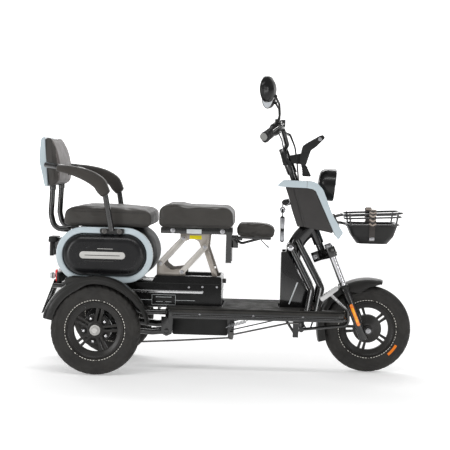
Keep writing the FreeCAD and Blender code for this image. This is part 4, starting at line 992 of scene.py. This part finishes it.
def build_barrel_trim():
    """Blank pill badge, hairlines, armrest bolts and end seams on the barrel's covers and rings."""
    bm = bmesh.new()
    for side in (-1, 1):
        face = side * 0.2450
        low, high = sorted((face - side * 0.001, face + side * 0.0025))
        r = 0.0159
        slab(bm, rectangle(-0.654, -0.449, 0.5096, 0.5414, r), low, high, "xz", 0, 10, 0.001)
        low, high = sorted((face + side * 0.002, face + side * 0.0031))
        slab(bm, rectangle(-0.630, -0.473, 0.5235, 0.5262, 0.0005), low, high, "xz", 2, 2, 0.0)
        low, high = sorted((face - side * 0.001, face + side * 0.0006))
        slab(bm, rectangle(-0.575, -0.505, 0.5535, 0.5555, 0.0008), low, high, "xz", 0, 2, 0.0)
        slab(bm, rectangle(-0.632, -0.500, 0.4985, 0.4993, 0.0004), low, high, "xz", 1, 2, 0.0)
        for x in (-0.544, -0.477):
            bolt(bm, (x, side * 0.2415, 0.634), (0, side, 0), 0.0085, 0.006, index=1, sides=24)
    finish_object("barrel_badges", bm, [BADGE, DARK_STEEL, PLASTIC], "chassis", 35.0)


def build_box_trim():
    """Bright strip, thin outline decals, handle recess line and lid seam on the battery box."""
    bm = bmesh.new()
    for side in (-1, 1):
        low, high = sorted((side * 0.1295, side * 0.1322))
        slab(bm, rectangle(-0.440, -0.104, 0.3525, 0.3655, 0.003), low, high, "xz", 0, 4, 0.0012)
        low, high = sorted((side * 0.1295, side * 0.1305))
        lines = [(-0.440, -0.336, 0.3195, 0.3212), (-0.2275, -0.140, 0.3195, 0.3212),
                 (-0.336, -0.2275, 0.3435, 0.3447),
                 (-0.336, -0.2275, 0.2983, 0.2995), (-0.336, -0.3348, 0.2983, 0.3447),
                 (-0.2287, -0.2275, 0.2983, 0.3447), (-0.318, -0.246, 0.3330, 0.3350),
                 (-0.318, -0.286, 0.3120, 0.3135),
                 (-0.274, -0.246, 0.3120, 0.3135)]
        for x0, x1, z0, z1 in lines:
            slab(bm, rectangle(x0, x1, z0, z1), low, high, "xz", 1, 1, 0.0)
        low, high = sorted((side * 0.1290, side * 0.1308))
        slab(bm, rectangle(-0.430, -0.030, 0.3960, 0.3990, 0.001), low, high, "xz", 2, 2, 0.0)
        for x, z in ((-0.168, 0.381), (-0.106, 0.384), (-0.106, 0.362), (-0.040, 0.385)):
            bolt(bm, (x, side * 0.1298, z), (0, side, 0), 0.0035, 0.002, index=3, sides=14)
    for z in (0.395, 0.372, 0.349):
        slab(bm, rectangle(-0.118, 0.118, z, z + 0.004, 0.001), -0.0205, -0.0188, "yz", 2, 2, 0.0)
    finish_object("box_trim", bm, [metal("bright_strip", (0.70, 0.70, 0.71), 0.16, 0.3), LABEL_PALE, SHINY,
                                   STEEL],
                  "chassis", 35.0)


def build_lift_trim():
    """Blank labels and bolts on the seat carrier, pivot bolt heads on the links."""
    bm = bmesh.new()
    for side in (-1, 1):
        low, high = sorted((side * 0.1055, side * 0.1066))
        slab(bm, rectangle(-0.171, -0.1165, 0.5995, 0.6170, 0.001), low, high, "xz", 1, 2, 0.0)
        low, high = sorted((side * 0.1495, side * 0.1506))
        slab(bm, rectangle(-0.182, -0.115, 0.6275, 0.6470, 0.001), low, high, "xz", 2, 2, 0.0)
        for x in (-0.245, -0.020):
            bolt(bm, (x, side * 0.150, 0.640), (0, side, 0), 0.008, 0.004, index=0, sides=20)
        for x, z in ((-0.199, 0.602), (-0.100, 0.5645)):
            bolt(bm, (x, side * 0.1160, z), (0, side, 0), 0.0062, 0.004, index=0)
    finish_object("carrier_trim", bm, [STEEL, LABEL_YELLOW, LABEL_PALE], "carrier", 35.0)
    bm = bmesh.new()
    for side in (-1, 1):
        for x, z in ((-0.302, 0.487), (-0.203, 0.4495)):
            bolt(bm, (x, side * 0.1160, z), (0, side, 0), 0.0062, 0.004, index=0)
    finish_object("lift_base_bolts", bm, [STEEL], "chassis", 35.0)


def build_front():
    """Headlight glass and ring, seams and screws of the shroud, leg shield strip."""
    axis = Vector((math.cos(math.radians(6)), 0, -math.sin(math.radians(6))))
    centre = Vector((0.482, 0, 0.859))
    place = Matrix.Translation(centre) @ Vector((0, 1, 0)).rotation_difference(axis).to_matrix().to_4x4()
    bm = bmesh.new()
    spun(bm, [(0.0665, 0.0002), (0.0735, 0.0002), (0.0745, 0.0030), (0.0725, 0.0062), (0.0685, 0.0068),
              (0.0660, 0.0045)], 72, index=0)
    glass = [(0.0001, 0.0002), (0.0665, 0.0002), (0.0665, 0.0040), (0.0600, 0.0062), (0.0450, 0.0082),
             (0.0250, 0.0093), (0.0001, 0.0097)]
    spun(bm, glass, 72, index=1)
    for k in range(3):
        spun(bm, rectangle(0.012 + 0.017 * k, 0.0135 + 0.017 * k, 0.0085 - 0.001 * k, 0.0102 - 0.0011 * k),
             60, index=0)
    finish_object("headlight_lens", bm, [CHROME, CLEAR], "chassis", 35.0, place)
    bm = bmesh.new()
    bowl = [(0.0001, -0.0735), (0.0300, -0.0732), (0.0500, -0.0700), (0.0620, -0.0630), (0.0695, -0.0510),
            (0.0735, -0.0340), (0.0748, -0.0140), (0.0750, 0.0), (0.0747, 0.0040), (0.0738, 0.0040),
            (0.0736, 0.0),
            (0.0001, 0.0)]
    spun(bm, bowl, 96)
    bucket = finish_object("headlight_bucket_shaped", bm, [SHINY], "chassis", 50.0, place)
    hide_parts("headlight_bucket")
    bm = bmesh.new()
    for side in (-1, 1):
        low, high = sorted((side * 0.0955, side * 0.0965))
        slab(bm, rectangle(0.3575, 0.3588, 0.8485, 0.8755), low, high, "xz", 0, 1, 0.0)
        low, high = sorted((side * 0.0938, side * 0.0950))
        sweep(bm, [Vector((0.300, side * 0.0940, 0.8405)), Vector((0.3545, side * 0.0940, 0.6720))],
              circle(0.0022, 8), index=1)
        for x, z in ((0.446, 0.700), (0.357, 0.682), (0.324, 0.830)):
            bolt(bm, (x, side * 0.0938, z), (0, side, 0), 0.0036, 0.0015, index=1, sides=16)
        strip = [Vector((0.2895, side * 0.0856, 0.3120)), Vector((0.3265, side * 0.0856, 0.4130))]
        sweep(bm, strip, circle(0.0030, 8, 0.6), index=2, up=SIDE)
    finish_object("shroud_seams", bm, [DARK_STEEL, PANEL, LABEL_PALE], "chassis", 35.0)


def build_fork_trim():
    """Amber reflectors, axle nuts, dust seals on the sliding legs; caps and lock on the yoke."""
    bm = bmesh.new()
    for side in (-1, 1):
        middle = steered(0.036, side * 0.0925, -0.392)
        turn = Matrix(((FORWARD.x, 0, UPWARD.x), (0, 1, 0), (FORWARD.z, 0, UPWARD.z))).to_4x4()
        made = bmesh.new()
        low, high = sorted((0.0, side * 0.0055))
        slab(made, rectangle(-0.0078, 0.0078, -0.0535, 0.0535, 0.0077), low, high, "xz", 0, 8, 0.002)
        low, high = sorted((side * 0.004, side * 0.0064))
        slab(made, rectangle(-0.0045, 0.0045, -0.036, 0.036, 0.004), low, high, "xz", 1, 5, 0.0006)
        join(bm, made, Matrix.Translation(middle) @ turn)
        bolt(bm, FRONT_AXLE + SIDE * side * 0.0945, (0, side, 0), 0.0088, 0.0045, index=2)
        made = bmesh.new()
        spun(made, [(0.0152, -0.004), (0.0216, -0.004), (0.0222, -0.001), (0.0216, 0.006), (0.0180, 0.010),
                    (0.0152, 0.011)], 40, index=3)
        seat = Vector((0, 1, 0)).rotation_difference(UPWARD).to_matrix().to_4x4()
        join(bm, made, Matrix.Translation(steered(0.036, side * 0.073, -0.259)) @ seat)
    finish_object("fork_trim", bm, [AMBER, YELLOW_LENS, STEEL, PLASTIC], "fork", 35.0)
    bm = bmesh.new()
    for side in (-1, 1):
        made = bmesh.new()
        spun(made, [(0.0001, 0.0), (0.0165, 0.0), (0.0175, 0.0020), (0.0170, 0.0075), (0.0120, 0.0095),
                    (0.0001, 0.0100)], 32, index=0)
        seat = Vector((0, 1, 0)).rotation_difference(UPWARD).to_matrix().to_4x4()
        join(bm, made, Matrix.Translation(steered(0.036, side * 0.073, -0.0615)) @ seat)
        for k in (0, 1):
            bolt(bm, steered(0.044 + 0.012 * k, side * 0.0975, -0.077 - 0.016 * k), (0, side, 0), 0.004,
                 0.004, index=1)
    bolt(bm, steered(-0.037, -0.0185, -0.085), (0, -1, 0), 0.0095, 0.004, index=0, sides=24)
    finish_object("yoke_trim", bm, [STEEL, DARK_STEEL], "steering", 35.0)


def build_controls():
    """Grip ends and flanges, mirror glass, display window and stem boot rings."""
    way = (GRIP_OUT - GRIP_IN).normalized()
    for side, body in ((-1, "throttle"), (1, "steering")):
        bm = bmesh.new()
        for start, radius, width, index in ((0.112, 0.0175, 0.006, 1), (0.004, 0.0205, 0.004, 0),
                                            (0.100, 0.0190, 0.003, 0),
                                            (0.052, 0.0180, 0.002, 0), (0.030, 0.0180, 0.002, 0),
                                            (0.075, 0.0180, 0.002, 0)):
            made = bmesh.new()
            inner = 0.0001 if index else 0.0166
            spun(made, [(inner, 0), (radius * 0.94, 0), (radius, width * 0.3), (radius, width * 0.7),
                        (radius * 0.94, width), (inner, width)], 40, index=index)
            at = GRIP_IN + way * start
            heading = Vector(way)
            if side > 0:
                at, heading = Vector((at.x, -at.y, at.z)), Vector((way.x, -way.y, way.z))
            turn = SIDE.rotation_difference(heading).to_matrix().to_4x4()
            join(bm, made, Matrix.Translation(at) @ turn)
        finish_object("grip_trim_" + ("right" if side < 0 else "left"), bm, [GRIP, GRIP_END], body, 35.0)
    for side, body in ((-1, "mirror_right"), (1, "mirror_left")):
        centre = Vector((0.171, side * 0.333, 1.276))
        face = Vector((-math.cos(math.radians(30)), -side * math.sin(math.radians(30)), 0))
        bm = bmesh.new()
        spun(bm, [(0.0001, 0.0055), (0.0525, 0.0055), (0.0545, 0.0066), (0.0545, 0.0072), (0.0001, 0.0072)],
             64, index=0)
        spun(bm, [(0.0535, 0.0050), (0.0578, 0.0045), (0.0582, 0.0066), (0.0565, 0.0084), (0.0540, 0.0082)],
             64, index=1)
        turn = Vector((0, 1, 0)).rotation_difference(face).to_matrix().to_4x4()
        finish_object(body + "_glass", bm, [GLASS, SHINY], body, 35.0, Matrix.Translation(centre) @ turn)
    bm = bmesh.new()
    slope = Vector((0.088, 0, 0.052)).normalized()
    up = Vector((-slope.z, 0, slope.x))
    base = Vector((0.336, 0, 1.038))
    made = bmesh.new()
    slab(made, rectangle(0.012, 0.092, -0.050, 0.050, 0.006), 0.0002, 0.0022, "xy", 0, 5, 0.0008)
    turn = Matrix(((slope.x, 0, up.x), (0, 1, 0), (slope.z, 0, up.z))).to_4x4()
    join(bm, made, Matrix.Translation(base) @ turn)
    for side in (-1, 1):
        bolt(bm, (0.412, side * 0.0600, 1.069), (0, side, 0), 0.0085, 0.0025, index=1, sides=24, washer=False)
    for k in range(4):
        slab(bm, rectangle(-0.0285, 0.0285, 0.905 + 0.011 * k, 0.909 + 0.011 * k, 0.002),
             0.3345 - 0.0008 * k, 0.3720 - 0.004 * k, "yz", 2, 3, 0.001)
    finish_object("display_trim", bm, [SHINY, STEEL, PLASTIC], "steering", 35.0)


def build_basket_trim():
    """Woven straps with buckles over the basket's near and far sides, and the tub rim."""
    bm = bmesh.new()
    for side in (-1, 1):
        path = smooth_line([(0.656, side * 0.1500, 0.7515), (0.656, side * 0.1525, 0.735),
                            (0.656, side * 0.1500, 0.712),
                            (0.656, side * 0.1430, 0.690), (0.656, side * 0.1300, 0.668),
                            (0.656, side * 0.1270, 0.645),
                            (0.656, side * 0.1180, 0.622), (0.656, side * 0.1080, 0.610)], 8)
        flat = rectangle(-0.0125, 0.0125, -0.0010, 0.0010)
        sweep(bm, path, flat, index=0, up=SIDE)
        for k in range(9):
            at = path[int(k * 3.3)]
            nearby = path[int(k * 3.3) + 3]
            for s in (-1, 1):
                start = at + Vector((s * 0.0150, side * 0.002, 0.0))
                end = nearby + Vector((s * 0.0005, side * 0.0035, -0.001))
                sweep(bm, [start, start.lerp(end, 0.5) + SIDE * side * 0.0020, end], circle(0.0036, 8, 0.5),
                      index=1 if k % 2 else 0, up=SIDE)
        slab(bm, rectangle(0.6445, 0.6675, 0.6150, 0.6300, 0.003),
             *sorted((side * 0.1175, side * 0.1225)), "xz", 2, 4, 0.001)
        over = [Vector((0.656, side * y, z)) for y,
                z in ((0.1500, 0.7515), (0.1430, 0.7560), (0.1350, 0.7530),
                                                         (0.1330, 0.7430))]
        sweep(bm, over, flat, index=1, up=SIDE)
    finish_object("basket_straps", bm, [STRAP, TAN, STEEL], "chassis", 40.0)
    bm = bmesh.new()
    corners = rectangle(0.5470, 0.7700, -0.1245, 0.1245, 0.030)
    rim = [Vector((p.x, p.y, 0.6845)) for p in rounded_outline(corners, 8)]
    sweep(bm, rim, circle(0.0042, 10), closed=True)
    finish_object("basket_tub_rim", bm, [SHINY], "chassis", 50.0)


def build_tail():
    """Lamp bar, signals and reflector of the tail."""
    bm = bmesh.new()
    slab(bm, rectangle(-0.158, 0.158, 0.3915, 0.4355, 0.006), -0.7690, -0.7545, "yz", 1, 5, 0.002)
    slab(bm, rectangle(-0.156, 0.156, 0.3945, 0.4325, 0.006), -0.7738, -0.7690, "yz", 0, 5, 0.002)
    for side in (-1, 1):
        made = bmesh.new()
        spun(made, [(0.0001, -0.012), (0.0105, -0.011), (0.0135, -0.004), (0.0138, 0.006), (0.0120, 0.0115),
                    (0.0001, 0.0130)], 32, index=2)
        spun(made, rectangle(0.0132, 0.0144, -0.003, 0.001), 32, index=1)
        turn = Vector((0, 1, 0)).rotation_difference(Vector((-1, 0, 0))).to_matrix().to_4x4()
        join(bm, made, Matrix.Translation(Vector((-0.7930, side * 0.120, 0.418))) @ turn)
        sweep(bm, [Vector((-0.7700, side * 0.120, 0.418)), Vector((-0.7830, side * 0.120, 0.418))],
              circle(0.0055, 12),
              index=1)
    made = bmesh.new()
    spun(made, [(0.0001, -0.004), (0.0160, -0.004), (0.0160, 0.0020), (0.0145, 0.0040), (0.0001, 0.0045)],
         36, index=0)
    turn = Vector((0, 1, 0)).rotation_difference(Vector((-1, 0, 0))).to_matrix().to_4x4()
    join(bm, made, Matrix.Translation(Vector((-0.7960, 0, 0.421))) @ turn)
    sweep(bm, [Vector((-0.7700, 0, 0.421)), Vector((-0.7930, 0, 0.421))], circle(0.0055, 12), index=1)
    piece = finish_object("tail_lights_shaped", bm, [RED, PLASTIC, CLEAR], "chassis", 35.0)
    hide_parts("tail_lights")


def build_pedal_and_key():
    """Ribs on the pedal pad; bright key, ring and fob plates."""
    bm = bmesh.new()
    start, end = Vector((0.4300, -0.198, 0.3500)), Vector((0.5010, -0.198, 0.4060))
    along = (end - start).normalized()
    up = Vector((-along.z, 0, along.x))
    for k in range(7):
        at = start + along * (0.008 + 0.0122 * k) + up * 0.0095
        sweep(bm, [at + SIDE * -0.023, at + SIDE * 0.023], circle(0.0022, 8), index=0)
    finish_object("pedal_ribs", bm, [PEDAL], "pedal", 40.0)
    bm = bmesh.new()
    x, y = 0.250, -0.088
    ring = [Vector((x + 0.0090 * math.cos(a), y, 0.7415 + 0.0122 * math.sin(a)))
            for a in [2 * math.pi * k / 40 for k in range(40)]]
    sweep(bm, ring, circle(0.0026, 10), index=0, closed=True, up=SIDE)
    made = bmesh.new()
    spun(made, [(0.0001, -0.0030), (0.0040, -0.0028), (0.0058, 0.0), (0.0040, 0.0028), (0.0001, 0.0030)],
         24, index=1)
    join(bm, made, Matrix.Translation((x, y, 0.7415)) @ Matrix.Diagonal((1, 1, 1.4, 1)))
    for k in range(5):
        middle = Vector((x, y, 0.7285 - 0.0055 * k))
        tilt = SIDE if k % 2 else Vector((1, 0, 0))
        link = [middle + tilt * 0.0024 * math.cos(a) + Vector((0, 0, 0.0042 * math.sin(a)))
                for a in [2 * math.pi * j / 16 for j in range(16)]]
        sweep(bm, link, circle(0.0008, 6), index=0, closed=True, up=tilt.cross(Vector((0, 0, 1))))
    for s in (-1, 1):
        low, high = sorted((y + s * 0.0068, y + s * 0.0082))
        slab(bm, [(x - 0.0085, 0.7080, 0.004), (x + 0.0085, 0.7050, 0.004), (x + 0.0075, 0.6560, 0.004),
                  (x - 0.0075, 0.6590, 0.004)], low, high, "xz", 0, 4, 0.0006)
        slab(bm, [(x - 0.0085, 0.6450, 0.004), (x + 0.0085, 0.6450, 0.004), (x + 0.0095, 0.6020, 0.006),
                  (x - 0.0095, 0.6020, 0.006)], low, high, "xz", 0, 4, 0.0006)
    finish_object("key_bright_parts", bm, [FOB, SHINY], "key", 40.0)
    bm = bmesh.new()
    made = bmesh.new()
    spun(made, [(0.0001, -0.0105), (0.0090, -0.0098), (0.0150, -0.0060), (0.0172, 0.0), (0.0150, 0.0060),
                (0.0090, 0.0098), (0.0001, 0.0105)], 40, index=0)
    spun(made, [(0.0168, -0.0022), (0.0185, -0.0018), (0.0185, 0.0018), (0.0168, 0.0022)], 40, index=1)
    join(bm, made, Matrix.Translation((0.2625, -0.088, 0.778)) @ Matrix.Rotation(math.radians(-12), 4, "Y")
         @ Matrix.Diagonal((1, 1, 0.76, 1)))
    finish_object("lock_barrel", bm, [SHINY, CHROME], "chassis", 60.0)


def build_small_parts():
    """Tube end caps, handlebar clamp plate, mirror nuts, barrel latch, spring and links under the deck."""
    bm = bmesh.new()
    for side in (-1, 1):
        top = touch("main_frame", (0.2905, side * 0.30, 0.569), (0, -side, 0))
        made = bmesh.new()
        spun(made, [(0.0001, -0.002), (0.0135, -0.002), (0.0140, 0.0010), (0.0125, 0.0040), (0.0080, 0.0060),
                    (0.0001, 0.0068)], 32, index=0)
        join(bm, made, Matrix.Translation(top) @ Vector((0, 1, 0)).rotation_difference(
            Vector((0, side, 0))).to_matrix().to_4x4())
        for x, z in ((0.352, 0.268), (-0.110, 0.268), (0.130, 0.268)):
            bolt(bm, (x, side * 0.2298, z), (0, side, 0), 0.0042, 0.003, index=1, sides=14)
    slab(bm, [(-0.050, 0.566, 0.004), (0.050, 0.566, 0.004), (0.050, 0.592, 0.006), (-0.050, 0.592, 0.006)],
         -0.829, -0.790, "yz", 2, 4, 0.004)
    for y in (-0.038, 0.020):
        slab(bm, rectangle(y, y + 0.018, 0.502, 0.572, 0.003), -0.824, -0.806, "yz", 2, 3, 0.002)
        slab(bm, rectangle(y, y + 0.018, 0.572, 0.586, 0.003), -0.800, -0.755, "yz", 2, 3, 0.002)
    for y in (-0.165, 0.165):
        coil = [Vector((0.020 + 0.075 * k / 180, y + 0.008 * math.cos(k * 0.42), 0.214 + 0.022 * k / 180
                        + 0.008 * math.sin(k * 0.42))) for k in range(181)]
        sweep(bm, coil, circle(0.0013, 6), index=1)
        sweep(bm, [Vector((0.006, y, 0.205)), Vector((0.020, y, 0.214))], circle(0.0016, 8), index=1)
        sweep(bm, [Vector((0.095, y, 0.236)), Vector((0.118, y, 0.252))], circle(0.0016, 8), index=1)
        sweep(bm, [Vector((0.030, y + 0.004, 0.196)), Vector((0.240, y + 0.004, 0.249))],
              circle(0.0028, 10), index=2)
        sweep(bm, [Vector((0.345, y, 0.252)), Vector((0.372, y, 0.205))], circle(0.0035, 10), index=2)
        sweep(bm, [Vector((0.400, y, 0.252)), Vector((0.385, y, 0.205))], circle(0.0035, 10), index=2)
    finish_object("frame_small_parts", bm, [CHROME, STEEL, PLASTIC], "chassis", 35.0)
    bm = bmesh.new()
    for side in (-1, 1):
        bolt(bm, (0.226, side * 0.222, 1.1345), (0, 0, 1), 0.0062, 0.0065, index=0)
        bolt(bm, (0.226, side * 0.222, 1.1400), (0, 0, 1), 0.0048, 0.0045, index=1, washer=False)
    plate = touch("steering_stem", (0.10, 0, 0.968), (1, 0, 0))
    slab(bm, rectangle(-0.013, 0.013, 0.945, 0.990, 0.003),
         plate.x - 0.0028, plate.x + 0.0005, "yz", 1, 3, 0.0008)
    finish_object("handlebar_small_parts", bm, [DARK_STEEL, STEEL], "steering", 35.0)


def build_mat_and_deck():
    """Long ribs on the floor mat; a rubber edge band and a glossy tube bead round the tray's sides."""
    bm = bmesh.new()
    for side in (-1, 1):
        turn = [(0.502 + 0.0390 * math.sin(math.radians(9 * k)),
                 side * (0.192 + 0.0390 * math.cos(math.radians(9 * k))))
                for k in range(11)]
        path = [(-0.236, side * 0.2310), (0.1, side * 0.2310),
                (0.4, side * 0.2310)] + turn + [(0.541, side * 0.180)]
        sweep(bm, [Vector((x, y, 0.2835)) for x, y in path],
              [(-0.0022, -0.0050), (0.0014, -0.0055), (0.0022, -0.0040), (0.0022, 0.0050), (0.0008, 0.0066),
               (-0.0022, 0.0066)], index=0)
        sweep(bm, [Vector((x, y, 0.2610)) for x, y in path], circle(0.0080, 16), index=1)
    finish_object("deck_edges", bm, [MAT, BLACK], "chassis", 40.0)
    bm = bmesh.new()
    low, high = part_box("floor_mat")
    for k in range(15):
        y = -0.196 + 0.028 * k
        spans = [(-0.005, 0.240)] if abs(y) < 0.1 else [(-0.012, 0.370)]
        if abs(y) >= 0.14:
            spans = [(low.x + 0.02, 0.335)]
        for x0, x1 in spans:
            sweep(bm, [Vector((x0, y, high.z)), Vector((x1, y, high.z))], circle(0.0024, 8, 0.55), index=0)
    finish_object("mat_ribs", bm, [MAT], "chassis", 40.0)


# ---------------------------------------------------------------- camera, light, floor


def build_stage():
    bm = bmesh.new()
    rows = [[bm.verts.new((x, y, -0.0005)) for x in (-40, 0, 40)] for y in (-40, 0, 40)]
    for a, b in zip(rows, rows[1:]):
        for k in range(2):
            bm.faces.new((a[k], a[k + 1], b[k + 1], b[k]))
    mesh = bpy.data.meshes.new("floor")
    bm.to_mesh(mesh)
    bm.free()
    floor = bpy.data.objects.new("floor", mesh)
    bpy.context.scene.collection.objects.link(floor)
    f = Finish("studio_floor", (0.90, 0.90, 0.90), 0.85, specular=0.1).drift((0.92, 0.92, 0.92), 0.6, 0.6)
    f.bsdf.inputs["Emission Color"].default_value = (1, 1, 1, 1)
    f.bsdf.inputs["Emission Strength"].default_value = 0.32
    mesh.materials.append(f.bump(f.noise(8.0, 2.0), 0.01, 0.001).material)

    bm = bmesh.new()
    corners = [bm.verts.new(p) for p in ((-16, 9, -1), (16, 9, -1), (16, 9, 12), (-16, 9, 12))]
    bm.faces.new(corners)
    mesh = bpy.data.meshes.new("backdrop")
    bm.to_mesh(mesh)
    bm.free()
    wall = bpy.data.objects.new("backdrop", mesh)
    bpy.context.scene.collection.objects.link(wall)
    f = Finish("backdrop_paper", (0.9, 0.9, 0.9), 0.9, specular=0.1).drift((0.92, 0.92, 0.92), 0.5, 0.5)
    f.bsdf.inputs["Emission Color"].default_value = (1, 1, 1, 1)
    f.bsdf.inputs["Emission Strength"].default_value = 0.85
    mesh.materials.append(f.material)

    world = bpy.data.worlds.new("studio")
    bpy.context.scene.world = world
    world.use_nodes = True
    world.node_tree.nodes["Background"].inputs["Color"].default_value = (1, 1, 1, 1)
    world.node_tree.nodes["Background"].inputs["Strength"].default_value = 0.32

    def lamp(name, place, aim, width, height, power):
        data = bpy.data.lights.new(name, "AREA")
        data.shape = "RECTANGLE"
        data.size, data.size_y, data.energy = width, height, power
        light = bpy.data.objects.new(name, data)
        light.matrix_world = Matrix.Translation(Vector(place)) @ (Vector(aim) - Vector(place)).to_track_quat(
            "-Z", "Y").to_matrix().to_4x4()
        bpy.context.scene.collection.objects.link(light)

    lamp("left_strip", (-3.0, -3.2, 1.1), (0, 0, 0.7), 0.35, 2.6, 42)
    lamp("right_strip", (3.4, -3.0, 1.1), (0.2, 0, 0.6), 0.30, 2.4, 24)
    lamp("top_strip", (0, -2.4, 3.6), (0, 0, 0.5), 4.0, 0.5, 46)
    lamp("back_strip", (0, 2.6, 3.4), (0, 0, 0.5), 3.0, 0.8, 46)
    lamp("rear_kicker", (-3.2, 3.0, 1.4), (-0.2, 0, 0.6), 0.4, 2.2, 26)

    data = bpy.data.cameras.new("photo_camera")
    data.sensor_width = 36
    data.lens = 103.7
    data.clip_end = 200
    camera = bpy.data.objects.new("photo_camera", data)
    bpy.context.scene.collection.objects.link(camera)
    aim = Vector((-0.03828, 1, -0.04996))
    look = aim.to_track_quat("-Z", "Y").to_matrix().to_4x4()
    camera.matrix_world = Matrix.Translation(Vector((0.2147, -6.0, 0.9626))) @ look @ Matrix.Rotation(
        math.radians(1.35), 4, "Z")
    bpy.context.scene.camera = camera
    bpy.context.scene.view_settings.view_transform = "Standard"


build_stage()
build_wheels()
build_guards()
build_bodywork()
build_cushions()
build_barrel_trim()
build_box_trim()
build_lift_trim()
build_front()
build_fork_trim()
build_controls()
build_basket_trim()
build_tail()
build_pedal_and_key()
build_mat_and_deck()
build_small_parts()
